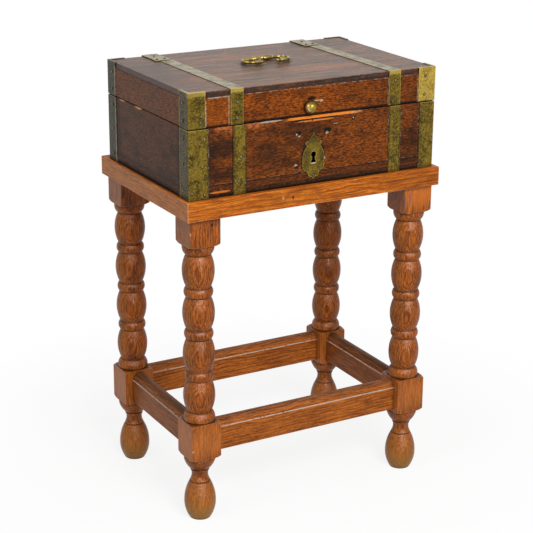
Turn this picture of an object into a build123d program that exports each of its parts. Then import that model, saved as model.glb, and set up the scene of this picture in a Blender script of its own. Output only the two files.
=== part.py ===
from build123d import *
import math
import os

# Bible box on its own turned stand: oak, brass mounts, hinged lid with a bail handle.
#
# Frame: the origin is on the floor under the middle of the stand, +X to the right, the
# front faces -Y, +Z is up. The bodies are the stand, the box that lies loose on it, the
# lid, the bail handle in its two eye posts, and the bolt in the lock.

# ---------------------------------------------------------------- stand
stand_w = 450.0            # top frame, left to right
stand_d = 316.0            # top frame, front to back
stand_h = 534.0            # floor to the surface that carries the box
rail_h = 30.0              # height of the mitred rails
rail_w = 52.0              # width of the rails, seen from above
rail_ease = 1.5            # rounding of the rails' outer top arris
panel_t = 12.0             # panel, flush with the rails
panel_lap = 8.0            # how far the panel lies in the rails' rebate
panel_fit = 0.2            # play round the panel
leg_stock = 51.0           # square billet that each leg is turned from
leg_inset = 7.5            # leg face behind the rail face
arris_r = 1.0              # worn arris of the square blocks
foot_h = 108.0             # floor to the lower block
low_block_h = 61.0
up_block_h = 45.0
shoulder_w = 6.5           # the lathe rounds each block's corners over this height
collar_h = 16.5            # half bead next to a block
ring_h = 16.75             # ring between two beads
bead_count = 4
bead_r = 25.2
ring_r = 22.9
neck_r = 19.4
foot_r = 25.4              # widest part of the foot
ankle_r = 13.1             # thinnest part of the foot
leg_tenon = 22.0
leg_tenon_h = 20.0
tenon_fit = 0.15           # play on each side of a tenon
stretcher_t = 26.0
stretcher_rise = 6.0       # stretcher's underside above the block's lower end
stretcher_face_h = 39.5    # flat side of a stretcher
crown_h = 12.0             # half-round top of a stretcher
crown_ledge = 1.8          # ledge on each side of the crown
stretcher_tenon_t = 8.0
stretcher_tenon_h = 32.0
stretcher_tenon_l = 18.0

# ---------------------------------------------------------------- box
case_inset_x = 8.0         # oak case behind the stand's left and right faces
case_inset_y = 15.0        # oak case behind the stand's front and back faces
case_shift_y = -3.5        # the box stands a little forward on the stand
wall_t = 12.0
bottom_t = 9.0
side_h = 97.0              # boards that stand on the bottom board
seam_gap = 1.2             # open line between box and lid
lid_rail_h = 44.8
lid_top_t = 9.0
lid_top_inset = 0.8        # top board's edge behind the rails' faces
joint_lap = 6.0            # end boards lie this deep in the long boards' rebates
wood_ease = 0.8            # worn arrises of the boards

# ---------------------------------------------------------------- brass
brass_t = 1.0              # corner mounts and straps
mount_lip = 3.5            # lid mounts folded over the top board
mount_round = 1.2          # fold of the corner mounts
mount_trim = 0.4           # mounts stop short of the boards' ends
scallop = 0.7              # depth of the hand-cut scallops on the inner edges
mount_front_w = {"lid_left": 28.0, "lid_right": 31.0, "base_left": 32.0, "base_right": 27.0}
mount_side_w = 28.5
strap_w = 21.0
lid_strap_x = (-137.0, 141.5)
lid_strap_skew = (-2.0, -5.0)    # the straps wander this far to the left towards the back
base_strap_x = (-132.5, 144.0)
leaf_t = 2.0               # hinge leaves
leaf_w = 26.0
leaf_reach = 52.0          # the lid's leaf over the top board
leaf_shift = -5.0          # leaf's middle from the strap's middle
leaf_drop = 55.0           # the base's leaf down the back board
leaf_fit = 0.3             # between leaf and strap
knuckle_r = 3.5
pin_r = 1.5
pin_head = 0.8             # peened ends of the pin
knuckle_gap = 0.3
pin_fit = 0.1

# ---------------------------------------------------------------- lock
lock_x = -4.4              # keyhole's middle
key_z = 46.1               # key barrel's middle above the case's underside
key_r = 4.6
key_waist = 2.9            # half width below the round hole
key_flare = 5.6            # half width at the foot of the keyhole
key_drop = 13.2            # keyhole's foot below the barrel's middle
plate_w = 38.4
plate_h = 74.2             # escutcheon, crest to pendant
plate_t = 1.2
plate_z = 44.3             # escutcheon's middle above the case's underside
lock_w = 64.0
lock_d = 13.0
lock_foot = 28.0           # lock's lower end above the case's underside
lock_flange = 6.0
lock_flange_t = 1.5
bolt_s = 5.0               # square bolt
bolt_l = 22.0
bolt_throw = 8.0
bolt_fit = 0.3
bolt_below_seam = 9.0      # bolt's middle below the top of the box
staple_t = 3.0
staple_d = 10.0
staple_l = 14.0            # staple below the lid's rail

# ---------------------------------------------------------------- knob and bail handle
knob_x = -12.5
knob_above_seam = 14.0
knob_r = 10.0
knob_h = 15.0
knob_rim = 6.0             # widest part of the knob above the board
knob_foot_r = 6.5
knob_shank_r = 2.5
bail_x = -4.0              # middle of the handle
bail_axis_y = -9.0         # pivot axis, measured from the stand's middle
bail_axis_h = 5.0          # pivot axis above the lid
bail_reach = 27.0          # pivot axis to the grip's middle line
grip_l = 54.0
grip_r = 4.1               # thickest part of the grip
bail_wire_r = 2.5
eye_wire_r = 2.0           # wire where it turns in the eyes
eye_x = 19.0               # eye posts left and right of the handle's middle
eye_t = 3.0
eye_r = 4.2
eye_hole_r = 2.2
bail_rest_gap = 0.3        # grip above the lid when it lies down
post_shank_r = 1.75
rove_r = 4.5
rove_t = 1.2

# ---------------------------------------------------------------- derived positions
leg_x = stand_w / 2 - leg_inset - leg_stock / 2
leg_y = stand_d / 2 - leg_inset - leg_stock / 2
leg_top = stand_h - rail_h
block_end = leg_top - up_block_h
turned_start = foot_h + low_block_h
turned_l = block_end - turned_start
bead_h = (turned_l - 2 * collar_h - (bead_count - 1) * ring_h) / bead_count
stretcher_z = foot_h + stretcher_rise

case_x = stand_w / 2 - case_inset_x
case_front = case_shift_y + case_inset_y - stand_d / 2
case_back = case_shift_y - case_inset_y + stand_d / 2
case_top = stand_h + bottom_t + side_h
lid_z = case_top + seam_gap
board_z = lid_z + lid_rail_h
lid_top_z = board_z + lid_top_t
hinge_y = case_back + knuckle_r
hinge_z = (case_top + lid_z) / 2
leaf_clear = knuckle_r + 0.5
inner_front = case_front + wall_t
key_top = stand_h + key_z
bolt_z = case_top - bolt_below_seam
leaf_x = tuple(x + skew + leaf_shift for x, skew in zip(lid_strap_x, lid_strap_skew))
bail_axis_z = lid_top_z + bail_axis_h
bail_grip_y = bail_axis_y + bail_reach
bail_droop = math.degrees(math.asin((bail_axis_h - grip_r - bail_rest_gap) / bail_reach))


def slab(x0, x1, y0, y1, z0, z1):
    """Square-edged block between two opposite corners."""
    return Pos((x0 + x1) / 2, (y0 + y1) / 2, (z0 + z1) / 2) * Box(x1 - x0, y1 - y0, z1 - z0)


def rod_x(radius, x0, x1, y, z):
    """Round bar along X."""
    return Pos((x0 + x1) / 2, y, z) * Rot(0, 90, 0) * Cylinder(radius, x1 - x0)


def rod_y(radius, y0, y1, x, z):
    """Round bar along Y."""
    return Pos(x, (y0 + y1) / 2, z) * Rot(90, 0, 0) * Cylinder(radius, y1 - y0)


def rod_z(radius, z0, z1, x, y):
    """Round bar along Z."""
    return Pos(x, y, (z0 + z1) / 2) * Cylinder(radius, z1 - z0)


def edges_at(shape, **near):
    """Straight edges of a shape whose middle has the given coordinates."""
    found = []
    for edge in shape.edges():
        middle = edge.center()
        if all(abs(getattr(middle, axis.upper()) - value) < 0.01 for axis, value in near.items()):
            found.append(edge)
    return found


def closed_face(curves):
    """Face inside a closed run of lines and arcs."""
    return make_face([edge for curve in curves for edge in curve.edges()])


def write(shape, node):
    """One STEP file per piece."""
    export_step(shape, f"parts/{node}.step")


# ---------------------------------------------------------------- stand
def frame_ring():
    """The four rails as one ring, before the mitres: rebate for the panel, leg mortises."""
    inner_w = stand_w - 2 * rail_w
    inner_d = stand_d - 2 * rail_w
    middle_z = stand_h - rail_h / 2
    ring = Pos(0, 0, middle_z) * Box(stand_w, stand_d, rail_h)
    ring = fillet(edges_at(ring, z=stand_h), rail_ease)
    ring -= Pos(0, 0, middle_z) * Box(inner_w, inner_d, rail_h)
    rebate = Box(inner_w + 2 * panel_lap, inner_d + 2 * panel_lap, panel_t)
    ring -= Pos(0, 0, stand_h - panel_t / 2) * rebate
    mortise = leg_tenon + 2 * tenon_fit
    depth = leg_tenon_h + tenon_fit
    for sx in (-1, 1):
        for sy in (-1, 1):
            ring -= Pos(sx * leg_x, sy * leg_y, leg_top + depth / 2) * Box(mortise, mortise, depth)
    return ring


def mitre_wedge(turned, sign):
    """Plan of one rail: outer edge to inner edge with 45 degree ends."""
    w = stand_w / 2
    d = stand_d / 2
    if turned:
        plan = [(w, -d), (w, d), (w - rail_w, d - rail_w), (w - rail_w, rail_w - d)]
    else:
        plan = [(-w, d), (w, d), (w - rail_w, d - rail_w), (rail_w - w, d - rail_w)]
    flip = 0 if sign > 0 else 180
    face = make_face(Polyline(*plan, close=True))
    return Rot(0, 0, flip) * Pos(0, 0, leg_top) * extrude(face, rail_h)


def frame_panel():
    """Flush panel in the rails' rebate."""
    w = stand_w - 2 * (rail_w - panel_lap + panel_fit)
    d = stand_d - 2 * (rail_w - panel_lap + panel_fit)
    return Pos(0, 0, stand_h - panel_t / 2) * Box(w, d, panel_t)


def leg_outline():
    """Half section of a leg: foot, blocks left wider than the billet, beads and rings."""
    waist_z = 64.0
    quarter_z = 85.2
    out_r = leg_stock * 0.75
    low_end = foot_h
    shoulder_r = leg_stock * 0.57
    collar_r = leg_stock * 0.478

    curve = [Line((0, 0), (17.0, 0))]
    curve += [TangentArc((foot_r, 28.5), (17.0, 0), tangent=(0, -1))]
    curve += [TangentArc((foot_r, 28.5), (16.4, waist_z - 0.6), tangent=(0, 1))]
    curve += [Polyline((16.4, waist_z - 0.6), (15.3, waist_z + 0.2), (15.7, waist_z + 1.4))]
    curve += [ThreePointArc((15.7, waist_z + 1.4), (ankle_r, 75.0), (14.1, quarter_z - 3.6))]
    curve += [ThreePointArc((14.1, quarter_z - 3.6), (15.0, quarter_z - 2.0), (14.1, quarter_z - 0.4))]
    curve += [Line((14.1, quarter_z - 0.4), (14.8, quarter_z))]
    curve += [ThreePointArc((14.8, quarter_z), (20.6, quarter_z + 6.8), (25.2, low_end - 6.0))]
    curve += [Polyline((25.2, low_end - 6.0), (25.2, low_end - 2.6), (24.2, low_end - 1.4),
                       (24.2, low_end), (shoulder_r, low_end))]
    curve += [ThreePointArc((shoulder_r, low_end), (shoulder_r + 5.6, low_end + 2.2),
                            (out_r, low_end + shoulder_w))]
    curve += [Line((out_r, low_end + shoulder_w), (out_r, turned_start - shoulder_w))]
    curve += [ThreePointArc((out_r, turned_start - shoulder_w),
                            (shoulder_r + 5.6, turned_start - 2.2), (shoulder_r, turned_start))]
    curve += [Line((shoulder_r, turned_start), (collar_r, turned_start))]
    z = turned_start
    curve += [ThreePointArc((collar_r, z), (collar_r + 0.6, z + 6.0), (neck_r, z + collar_h))]
    z += collar_h
    for index in range(bead_count):
        curve += [ThreePointArc((neck_r, z), (bead_r, z + bead_h / 2), (neck_r, z + bead_h))]
        z += bead_h
        if index < bead_count - 1:
            curve += [ThreePointArc((neck_r, z), (ring_r, z + ring_h / 2), (neck_r, z + ring_h))]
            z += ring_h
    curve += [ThreePointArc((neck_r, z), (collar_r + 0.6, block_end - 6.0), (collar_r, block_end))]
    curve += [Line((collar_r, block_end), (shoulder_r, block_end))]
    curve += [ThreePointArc((shoulder_r, block_end), (shoulder_r + 5.6, block_end + 2.2),
                            (out_r, block_end + shoulder_w))]
    curve += [Polyline((out_r, block_end + shoulder_w), (out_r, leg_top), (0, leg_top), (0, 0))]
    return Plane.XZ * closed_face(curve)


def leg():
    """One leg about the Z axis: billet turned between its square blocks, tenon, mortises."""
    billet = extrude(RectangleRounded(leg_stock, leg_stock, arris_r), leg_top)
    body = revolve(leg_outline(), Axis.Z) & billet
    body += Pos(0, 0, leg_top + leg_tenon_h / 2) * Box(leg_tenon, leg_tenon, leg_tenon_h)
    return body


def mortises(sx, sy):
    """The two stretcher mortises of the leg in the corner (sx, sy), about the leg's axis."""
    depth = stretcher_tenon_l + tenon_fit
    thick = stretcher_tenon_t + 2 * tenon_fit
    tall = stretcher_tenon_h + 2 * tenon_fit
    middle = leg_stock / 2 - depth / 2
    z = stretcher_z + stretcher_face_h / 2
    along_x = Pos(-sx * middle, 0, z) * Box(depth, thick, tall)
    along_y = Pos(0, -sy * middle, z) * Box(thick, depth, tall)
    return along_x, along_y


def stretcher(span):
    """Stretcher along X between two leg faces: flat sides, ledges, half-round top, tenons."""
    half = stretcher_t / 2
    crown = half - crown_ledge
    face_z = stretcher_face_h
    outline = Polyline((-crown, face_z), (-half, face_z), (-half, arris_r), (arris_r - half, 0),
                       (half - arris_r, 0), (half, arris_r), (half, face_z), (crown, face_z))
    top = ThreePointArc((crown, face_z), (0, face_z + crown_h), (-crown, face_z))
    section = Plane.YZ * closed_face([outline, top])
    bar = Pos(-span / 2, 0, 0) * extrude(section, span)
    tenon_span = span + 2 * stretcher_tenon_l
    bar += Pos(0, 0, face_z / 2) * Box(tenon_span, stretcher_tenon_t, stretcher_tenon_h)
    return Pos(0, 0, stretcher_z) * bar


def build_stand():
    """Mitred frame with its panel, four legs, four stretchers."""
    ring = frame_ring()
    rails = {"front": (False, -1), "back": (False, 1), "left": (True, -1), "right": (True, 1)}
    for name, (turned, sign) in rails.items():
        write(ring & mitre_wedge(turned, sign), f"frame_rail_{name}")
    write(frame_panel(), "frame_panel")

    blank = leg()
    for name_y, sy in (("front", -1), ("back", 1)):
        for name_x, sx in (("left", -1), ("right", 1)):
            piece = blank
            for mortise in mortises(sx, sy):
                piece -= mortise
            write(Pos(sx * leg_x, sy * leg_y, 0) * piece, f"leg_{name_y}_{name_x}")

    long_bar = stretcher(2 * leg_x - leg_stock)
    short_bar = Rot(0, 0, 90) * stretcher(2 * leg_y - leg_stock)
    write(Pos(0, -leg_y, 0) * long_bar, "stretcher_front")
    write(Pos(0, leg_y, 0) * long_bar, "stretcher_back")
    write(Pos(-leg_x, 0, 0) * short_bar, "stretcher_left")
    write(Pos(leg_x, 0, 0) * short_bar, "stretcher_right")


# ---------------------------------------------------------------- boards
def long_board(sign, z0, z1, eased_z):
    """Front (sign -1) or back board, with a rebate at each end for the end boards."""
    outer = case_back if sign > 0 else case_front
    inner = outer - sign * wall_t
    lap = inner + sign * (wall_t - joint_lap)
    board = slab(-case_x, case_x, min(outer, inner), max(outer, inner), z0, z1)
    board = chamfer(edges_at(board, y=outer, z=eased_z), wood_ease)
    for sx in (-1, 1):
        x0, x1 = sorted((sx * case_x, sx * (case_x - wall_t)))
        board -= slab(x0, x1, min(inner, lap), max(inner, lap), z0, z1)
    return board


def end_board(sx, z0, z1, eased_z):
    """Left (sx -1) or right board between the long boards' rebates."""
    x0, x1 = sorted((sx * case_x, sx * (case_x - wall_t)))
    end = wall_t - joint_lap
    board = slab(x0, x1, case_front + end, case_back - end, z0, z1)
    return chamfer(edges_at(board, x=sx * case_x, z=eased_z), wood_ease)


def keyhole(grow, depth):
    """Round hole with a waisted slot below it, cut along -Y from the XZ plane at y = 0."""
    radius = key_r + grow
    waist = key_waist + grow
    flare = key_flare + grow
    foot = -key_drop - grow
    neck = foot * 0.6
    slot = Polyline((-waist, 0), (waist, 0), (waist, neck), (flare, foot), (-flare, foot),
                    (-waist, neck), close=True)
    shape = make_face(slot) + Circle(radius)
    return extrude(Plane.XZ * shape, depth, both=True)


def corner_mount(sx, sy, front_w, z0, z1, lip):
    """Brass angle round one corner; a lid mount (lip) also folds over the top board."""
    outer_x = case_x + brass_t
    outer_y = (case_back if sy > 0 else -case_front) + brass_t
    top = z1 + brass_t if lip else z1
    block = slab(outer_x - front_w - brass_t, outer_x, outer_y - mount_side_w - brass_t, outer_y, z0, top)
    block = fillet(edges_at(block, x=outer_x, y=outer_y), mount_round)
    if lip:
        block = fillet(block.faces().sort_by(Axis.Z)[-1].edges().sort_by(Axis.X)[-2:], 0.6)
        inside = outer_x - brass_t - mount_lip
        block -= slab(0, inside, 0, outer_y - brass_t - mount_lip, z0, top)
    block -= slab(0, outer_x - brass_t, 0, outer_y - brass_t, z0, z1)
    count = 3 if lip else 5
    chord = (top - z0) / count
    radius = (chord ** 2 / 4 + scallop ** 2) / (2 * scallop)
    for index in range(count):
        z = z0 + chord * (index + 0.5)
        x = outer_x - brass_t - front_w + scallop - radius
        y = outer_y - brass_t - mount_side_w + scallop - radius
        if z1 - z > chord * 0.3:
            block -= rod_y(radius, outer_y - brass_t, outer_y, x, z)
            block -= rod_x(radius, outer_x - brass_t, outer_x, y, z)
    if sx < 0:
        block = mirror(block, Plane.YZ)
    if sy < 0:
        block = mirror(block, Plane.XZ)
    return block


def escutcheon_outline():
    """Right half of the lock plate's outline from the crest's tip to the pendant's tip."""
    def at(across, up):
        return (across * plate_w / 2, up * plate_h / 2)

    return [
        ThreePointArc(at(0, 1), at(0.09, 0.88), at(0.25, 0.79)),
        ThreePointArc(at(0.25, 0.79), at(0.34, 0.71), at(0.36, 0.63)),
        ThreePointArc(at(0.36, 0.63), at(0.57, 0.62), at(0.77, 0.53)),
        ThreePointArc(at(0.77, 0.53), at(0.67, 0.46), at(0.54, 0.45)),
        ThreePointArc(at(0.54, 0.45), at(0.86, 0.22), at(1, -0.10)),
        Line(at(1, -0.10), at(1, -0.42)),
        ThreePointArc(at(1, -0.42), at(0.94, -0.54), at(0.80, -0.62)),
        ThreePointArc(at(0.80, -0.62), at(0.58, -0.70), at(0.46, -0.82)),
        ThreePointArc(at(0.46, -0.82), at(0.32, -0.89), at(0.15, -0.90)),
        ThreePointArc(at(0.15, -0.90), at(0.06, -0.94), at(0, -1)),
    ]


def escutcheon():
    """Cut-out brass lock plate with the keyhole."""
    right = escutcheon_outline()
    left = [mirror(part, Plane.YZ) for part in right]
    plate = extrude(Plane.XZ * closed_face(right + left), plate_t)
    plate = Pos(lock_x, case_front, stand_h + plate_z) * plate
    return plate - Pos(lock_x, case_front, key_top) * keyhole(0, plate_t * 2)


def lock_case():
    """Box lock on the front board's inner face: key chamber, bolt channel, staple slot."""
    y0 = inner_front
    top = case_top - mount_trim
    foot = stand_h + lock_foot
    body = slab(lock_x - lock_w / 2, lock_x + lock_w / 2, y0, y0 + lock_d, foot, top)
    body = chamfer(edges_at(body, y=y0 + lock_d), 1.0)
    wide = lock_w / 2 + lock_flange
    body += slab(lock_x - wide, lock_x + wide, y0, y0 + lock_flange_t, foot, top)
    chamber = key_drop + 1.3
    body -= rod_y(chamber, y0, y0 + lock_d - 3.0, lock_x, key_top)
    half = bolt_s / 2 + bolt_fit
    middle = y0 + lock_d / 2
    start = lock_x - staple_t / 2 - 1.0 - bolt_l
    end = start + bolt_l + bolt_throw + 1.0
    body -= slab(start - 1.0, end, middle - half, middle + half, bolt_z - half, bolt_z + half)
    half_t = staple_t / 2 + 1.0
    half_d = staple_d / 2 + 0.4
    body -= slab(lock_x - half_t, lock_x + half_t, middle - half_d, middle + half_d,
                 lid_z - staple_l - 1.0, top)
    return body


def lock_bolt():
    """Square bolt, drawn back clear of the staple."""
    middle = inner_front + lock_d / 2
    end = lock_x - staple_t / 2 - 1.0
    half = bolt_s / 2
    bolt = slab(end - bolt_l, end, middle - half, middle + half, bolt_z - half, bolt_z + half)
    return chamfer(bolt.faces().sort_by(Axis.X)[-1].edges(), 0.6)


def lid_staple():
    """Foot plate under the lid's front rail with the tongue that the bolt passes through."""
    middle = inner_front + lock_d / 2
    plate = slab(lock_x - 18, lock_x + 18, inner_front, inner_front + 1.5, lid_z, lid_z + 8.0)
    plate += slab(lock_x - 18, lock_x + 18, inner_front, inner_front + lock_d - 0.5, lid_z, lid_z + 1.5)
    half_t = staple_t / 2
    half_d = staple_d / 2
    plate += slab(lock_x - half_t, lock_x + half_t, middle - half_d, middle + half_d,
                  lid_z - staple_l, lid_z + 1.0)
    half = bolt_s / 2 + bolt_fit
    plate -= slab(lock_x - half_t, lock_x + half_t, middle - half, middle + half,
                  bolt_z - half, bolt_z + half)
    return plate


# ---------------------------------------------------------------- hinges
def knuckles(x, inner):
    """The lid's middle knuckle (inner) or the base's two outer ones, with their X spans."""
    third = leaf_w / 3
    gap = knuckle_gap / 2
    if inner:
        return [(x - third / 2 + gap, x + third / 2 - gap)]
    return [(x - leaf_w / 2, x - third / 2 - gap), (x + third / 2 + gap, x + leaf_w / 2)]


def hinge_lid(x):
    """Leaf over the top board's back edge and down to its knuckle at the seam."""
    x0 = x - leaf_w / 2
    x1 = x + leaf_w / 2
    front = case_back - leaf_reach
    outer = slab(x0, x1, front, case_back + leaf_t, hinge_z + leaf_clear, lid_top_z + leaf_t)
    outer = fillet(edges_at(outer, y=case_back + leaf_t, z=lid_top_z + leaf_t), leaf_t * 0.8)
    outer -= slab(x0, x1, front, case_back, hinge_z, lid_top_z)
    for start, end in knuckles(x, True):
        outer += slab(start, end, case_back, case_back + leaf_t, hinge_z, hinge_z + leaf_clear)
        outer += rod_x(knuckle_r, start, end, hinge_y, hinge_z)
        outer -= rod_x(pin_r + pin_fit, start, end, hinge_y, hinge_z)
    return outer


def hinge_base(x):
    """Leaf down the back board with its two knuckles."""
    x0 = x - leaf_w / 2
    x1 = x + leaf_w / 2
    foot = hinge_z - leaf_drop
    leaf = slab(x0, x1, case_back, case_back + leaf_t, foot, hinge_z - leaf_clear)
    for start, end in knuckles(x, False):
        leaf += slab(start, end, case_back, case_back + leaf_t, hinge_z - leaf_clear, hinge_z)
        leaf += rod_x(knuckle_r, start, end, hinge_y, hinge_z)
        leaf -= rod_x(pin_r, start, end, hinge_y, hinge_z)
    return leaf


def hinge_pin(x):
    """Pin with peened ends."""
    half = leaf_w / 2
    pin = rod_x(pin_r, x - half - pin_head, x + half + pin_head, hinge_y, hinge_z)
    for sign in (-1, 1):
        x0, x1 = sorted((x + sign * half, x + sign * (half + pin_head)))
        pin += rod_x(pin_r + 0.7, x0, x1, hinge_y, hinge_z)
    return pin


# ---------------------------------------------------------------- straps
def lid_strap(x, skew):
    """Strip up the lid's front, folded over the edge and back to the hinge leaf."""
    front = case_front - brass_t
    back = case_back - leaf_reach - leaf_fit
    top = lid_top_z + brass_t
    half = strap_w / 2
    plan = [(x - half, front), (x + half, front), (x + half + skew, back), (x - half + skew, back)]
    strip = Pos(0, 0, lid_top_z) * extrude(make_face(Polyline(*plan, close=True)), brass_t)
    strip += slab(x - half, x + half, front, case_front, lid_z + mount_trim, top)
    fold = [edge for edge in edges_at(strip, y=front, z=top)]
    return fillet(fold, brass_t * 0.8)


def base_strap(x):
    """Strip up the front board."""
    half = strap_w / 2
    return slab(x - half, x + half, case_front - brass_t, case_front,
                stand_h + mount_trim, case_top - mount_trim)


# ---------------------------------------------------------------- knob and handle
def knob():
    """Round knob on a narrower foot; its shank goes through the lid's front rail."""
    end = -wall_t - rove_t - 0.8
    foot = (knob_foot_r, 0)
    rim = (knob_r, knob_rim)
    half = [Polyline((0, knob_h), (0, end), (knob_shank_r, end), (knob_shank_r, 0), foot),
            TangentArc(rim, foot, tangent=(0, -1)),
            TangentArc((0, knob_h), rim, tangent=(1, 0))]
    body = revolve(Plane.XZ * closed_face(half), Axis.Z)
    return Pos(knob_x, case_front, lid_z + knob_above_seam) * Rot(90, 0, 0) * body


def knob_rove():
    """Washer that the knob's shank is riveted over."""
    z = lid_z + knob_above_seam
    rove = rod_y(knob_shank_r + 3.0, inner_front, inner_front + rove_t, knob_x, z)
    return rove - rod_y(knob_shank_r + 0.1, inner_front, inner_front + rove_t, knob_x, z)


def handle_post(x):
    """Eye on a rosette; the shank goes down through the top board."""
    post = rod_z(5.0, lid_top_z, lid_top_z + 1.2, x, bail_axis_y)
    post += rod_x(eye_r, x - eye_t / 2, x + eye_t / 2, bail_axis_y, bail_axis_z)
    post += rod_z(post_shank_r, board_z - rove_t - 0.8, lid_top_z, x, bail_axis_y)
    return post - rod_x(eye_hole_r, x - eye_t / 2, x + eye_t / 2, bail_axis_y, bail_axis_z)


def handle_rove(x):
    """Washer under the top board."""
    rove = rod_z(rove_r, board_z - rove_t, board_z, x, bail_axis_y)
    return rove - rod_z(post_shank_r + 0.1, board_z - rove_t, board_z, x, bail_axis_y)


def grip():
    """Turned grip about the X axis, from its middle bead out to both ends."""
    end = grip_l / 2
    end_r = bail_wire_r + 0.3
    half = [
        Line((0, 0), (0, 3.4)),
        ThreePointArc((0, 3.4), (1.8, 3.1), (2.8, 2.2)),
        Line((2.8, 2.2), (3.4, 2.9)),
        ThreePointArc((3.4, 2.9), (9.0, grip_r), (17.0, end_r + 0.1)),
        Polyline((17.0, end_r + 0.1), (17.0, end_r + 0.7), (18.6, end_r + 0.7), (18.6, end_r),
                 (end, end_r), (end, 0), (0, 0)),
    ]
    right = revolve(closed_face(half), Axis.X)
    return right + mirror(right, Plane.YZ)


def bail():
    """Flat C of brass wire: turned grip, half-round ends, returns into the eyes with balls."""
    arc_r = bail_reach / 2
    bend = grip_l / 2
    shape = Pos(0, bail_grip_y, 0) * grip()
    ring_start = eye_x + eye_t / 2 + 0.3
    ball_r = 2.8
    ball_x = eye_x - eye_t / 2 - 0.3 - ball_r
    right = Plane.YZ.offset(bend) * Pos(bail_grip_y, 0) * Circle(bail_wire_r)
    centre = Axis((bend, bail_axis_y + arc_r, 0), (0, 0, 1))
    side = revolve(right, centre, -180)
    side += rod_x(bail_wire_r, ring_start, bend, bail_axis_y, 0)
    for index in range(3):
        x0 = ring_start + index * 2.2
        side += rod_x(bail_wire_r + 0.7, x0, x0 + 1.2, bail_axis_y, 0)
    side += rod_x(eye_wire_r, ball_x, ring_start, bail_axis_y, 0)
    side += Pos(ball_x, bail_axis_y, 0) * Sphere(ball_r)
    shape += side
    shape += mirror(side, Plane.YZ)
    shape = Pos(bail_x, 0, bail_axis_z) * shape
    return shape.rotate(Axis((0, bail_axis_y, bail_axis_z), (1, 0, 0)), -bail_droop)


# ---------------------------------------------------------------- box and lid
def build_box():
    """Five boards, brass mounts, lock, lower hinge leaves."""
    z0 = stand_h + bottom_t
    front = long_board(-1, z0, case_top, case_top)
    write(front - Pos(lock_x, case_front, key_top) * keyhole(0.4, wall_t * 2), "box_front")
    write(long_board(1, z0, case_top, case_top), "box_back")
    write(end_board(-1, z0, case_top, case_top), "box_left")
    write(end_board(1, z0, case_top, case_top), "box_right")
    write(slab(-case_x, case_x, case_front, case_back, stand_h, z0), "box_bottom")

    for name_y, sy in (("front", -1), ("back", 1)):
        for name_x, sx in (("left", -1), ("right", 1)):
            mount = corner_mount(sx, sy, mount_front_w[f"base_{name_x}"],
                                 stand_h + mount_trim, case_top - mount_trim, False)
            write(mount, f"base_corner_{name_y}_{name_x}")

    for name, x in zip(("left", "right"), base_strap_x):
        write(base_strap(x), f"base_strap_{name}")
    for name, x in zip(("left", "right"), leaf_x):
        write(hinge_base(x), f"hinge_base_{name}")
        write(hinge_pin(x), f"hinge_pin_{name}")
    write(escutcheon(), "escutcheon")
    write(lock_case(), "lock_case")
    write(lock_bolt(), "lock_bolt")


def build_lid():
    """Top board on four rails, brass mounts, straps, upper hinge leaves, staple, knob, bail."""
    knob_z = lid_z + knob_above_seam
    front = long_board(-1, lid_z, board_z, lid_z)
    write(front - rod_y(knob_shank_r + 0.1, case_front, inner_front, knob_x, knob_z), "lid_front")
    write(long_board(1, lid_z, board_z, lid_z), "lid_back")
    write(end_board(-1, lid_z, board_z, lid_z), "lid_left")
    write(end_board(1, lid_z, board_z, lid_z), "lid_right")

    top = slab(lid_top_inset - case_x, case_x - lid_top_inset, case_front + lid_top_inset,
               case_back - lid_top_inset, board_z, lid_top_z)
    top = chamfer(edges_at(top, z=lid_top_z), wood_ease)
    for x in (bail_x - eye_x, bail_x + eye_x):
        top -= rod_z(post_shank_r + 0.1, board_z, lid_top_z, x, bail_axis_y)
    write(top, "lid_top")

    for name_y, sy in (("front", -1), ("back", 1)):
        for name_x, sx in (("left", -1), ("right", 1)):
            mount = corner_mount(sx, sy, mount_front_w[f"lid_{name_x}"],
                                 lid_z + mount_trim, lid_top_z, True)
            write(mount, f"lid_corner_{name_y}_{name_x}")

    for name, x, skew in zip(("left", "right"), lid_strap_x, lid_strap_skew):
        write(lid_strap(x, skew), f"lid_strap_{name}")
    for name, x in zip(("left", "right"), leaf_x):
        write(hinge_lid(x), f"hinge_lid_{name}")
    write(lid_staple(), "lid_staple")
    write(knob(), "knob")
    write(knob_rove(), "knob_rove")
    for name, x in (("left", bail_x - eye_x), ("right", bail_x + eye_x)):
        write(handle_post(x), f"handle_post_{name}")
        write(handle_rove(x), f"handle_rove_{name}")
    write(bail(), "bail")


os.makedirs("parts", exist_ok=True)
build_stand()
build_box()
build_lid()
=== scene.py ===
"""Looks of the bible box on its turned stand: aged oak, worn brass, nails and a plain studio."""

from __future__ import annotations

import logging
import math
import random
from dataclasses import dataclass, field, replace
from enum import Enum

import bmesh
import bpy
from mathutils import Matrix, Vector


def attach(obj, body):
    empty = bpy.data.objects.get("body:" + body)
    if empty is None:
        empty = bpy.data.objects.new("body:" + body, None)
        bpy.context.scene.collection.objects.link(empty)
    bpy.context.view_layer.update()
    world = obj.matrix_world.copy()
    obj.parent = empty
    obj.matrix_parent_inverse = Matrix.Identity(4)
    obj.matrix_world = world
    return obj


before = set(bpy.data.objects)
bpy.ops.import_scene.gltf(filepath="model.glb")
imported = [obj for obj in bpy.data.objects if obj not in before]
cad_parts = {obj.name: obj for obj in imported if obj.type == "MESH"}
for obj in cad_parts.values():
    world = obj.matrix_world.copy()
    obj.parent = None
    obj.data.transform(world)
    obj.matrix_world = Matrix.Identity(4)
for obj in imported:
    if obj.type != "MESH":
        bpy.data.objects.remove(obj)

bpy.context.view_layer.update()
MM = 0.001
HANDS = ("left", "right")

log = logging.getLogger("bible_box")

Chip = tuple[int, int, int]
Triple = tuple[float, float, float]
Heights = tuple[float, ...]
Material = bpy.types.Material
Socket = bpy.types.NodeSocket
Feed = Socket | float | tuple


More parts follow.
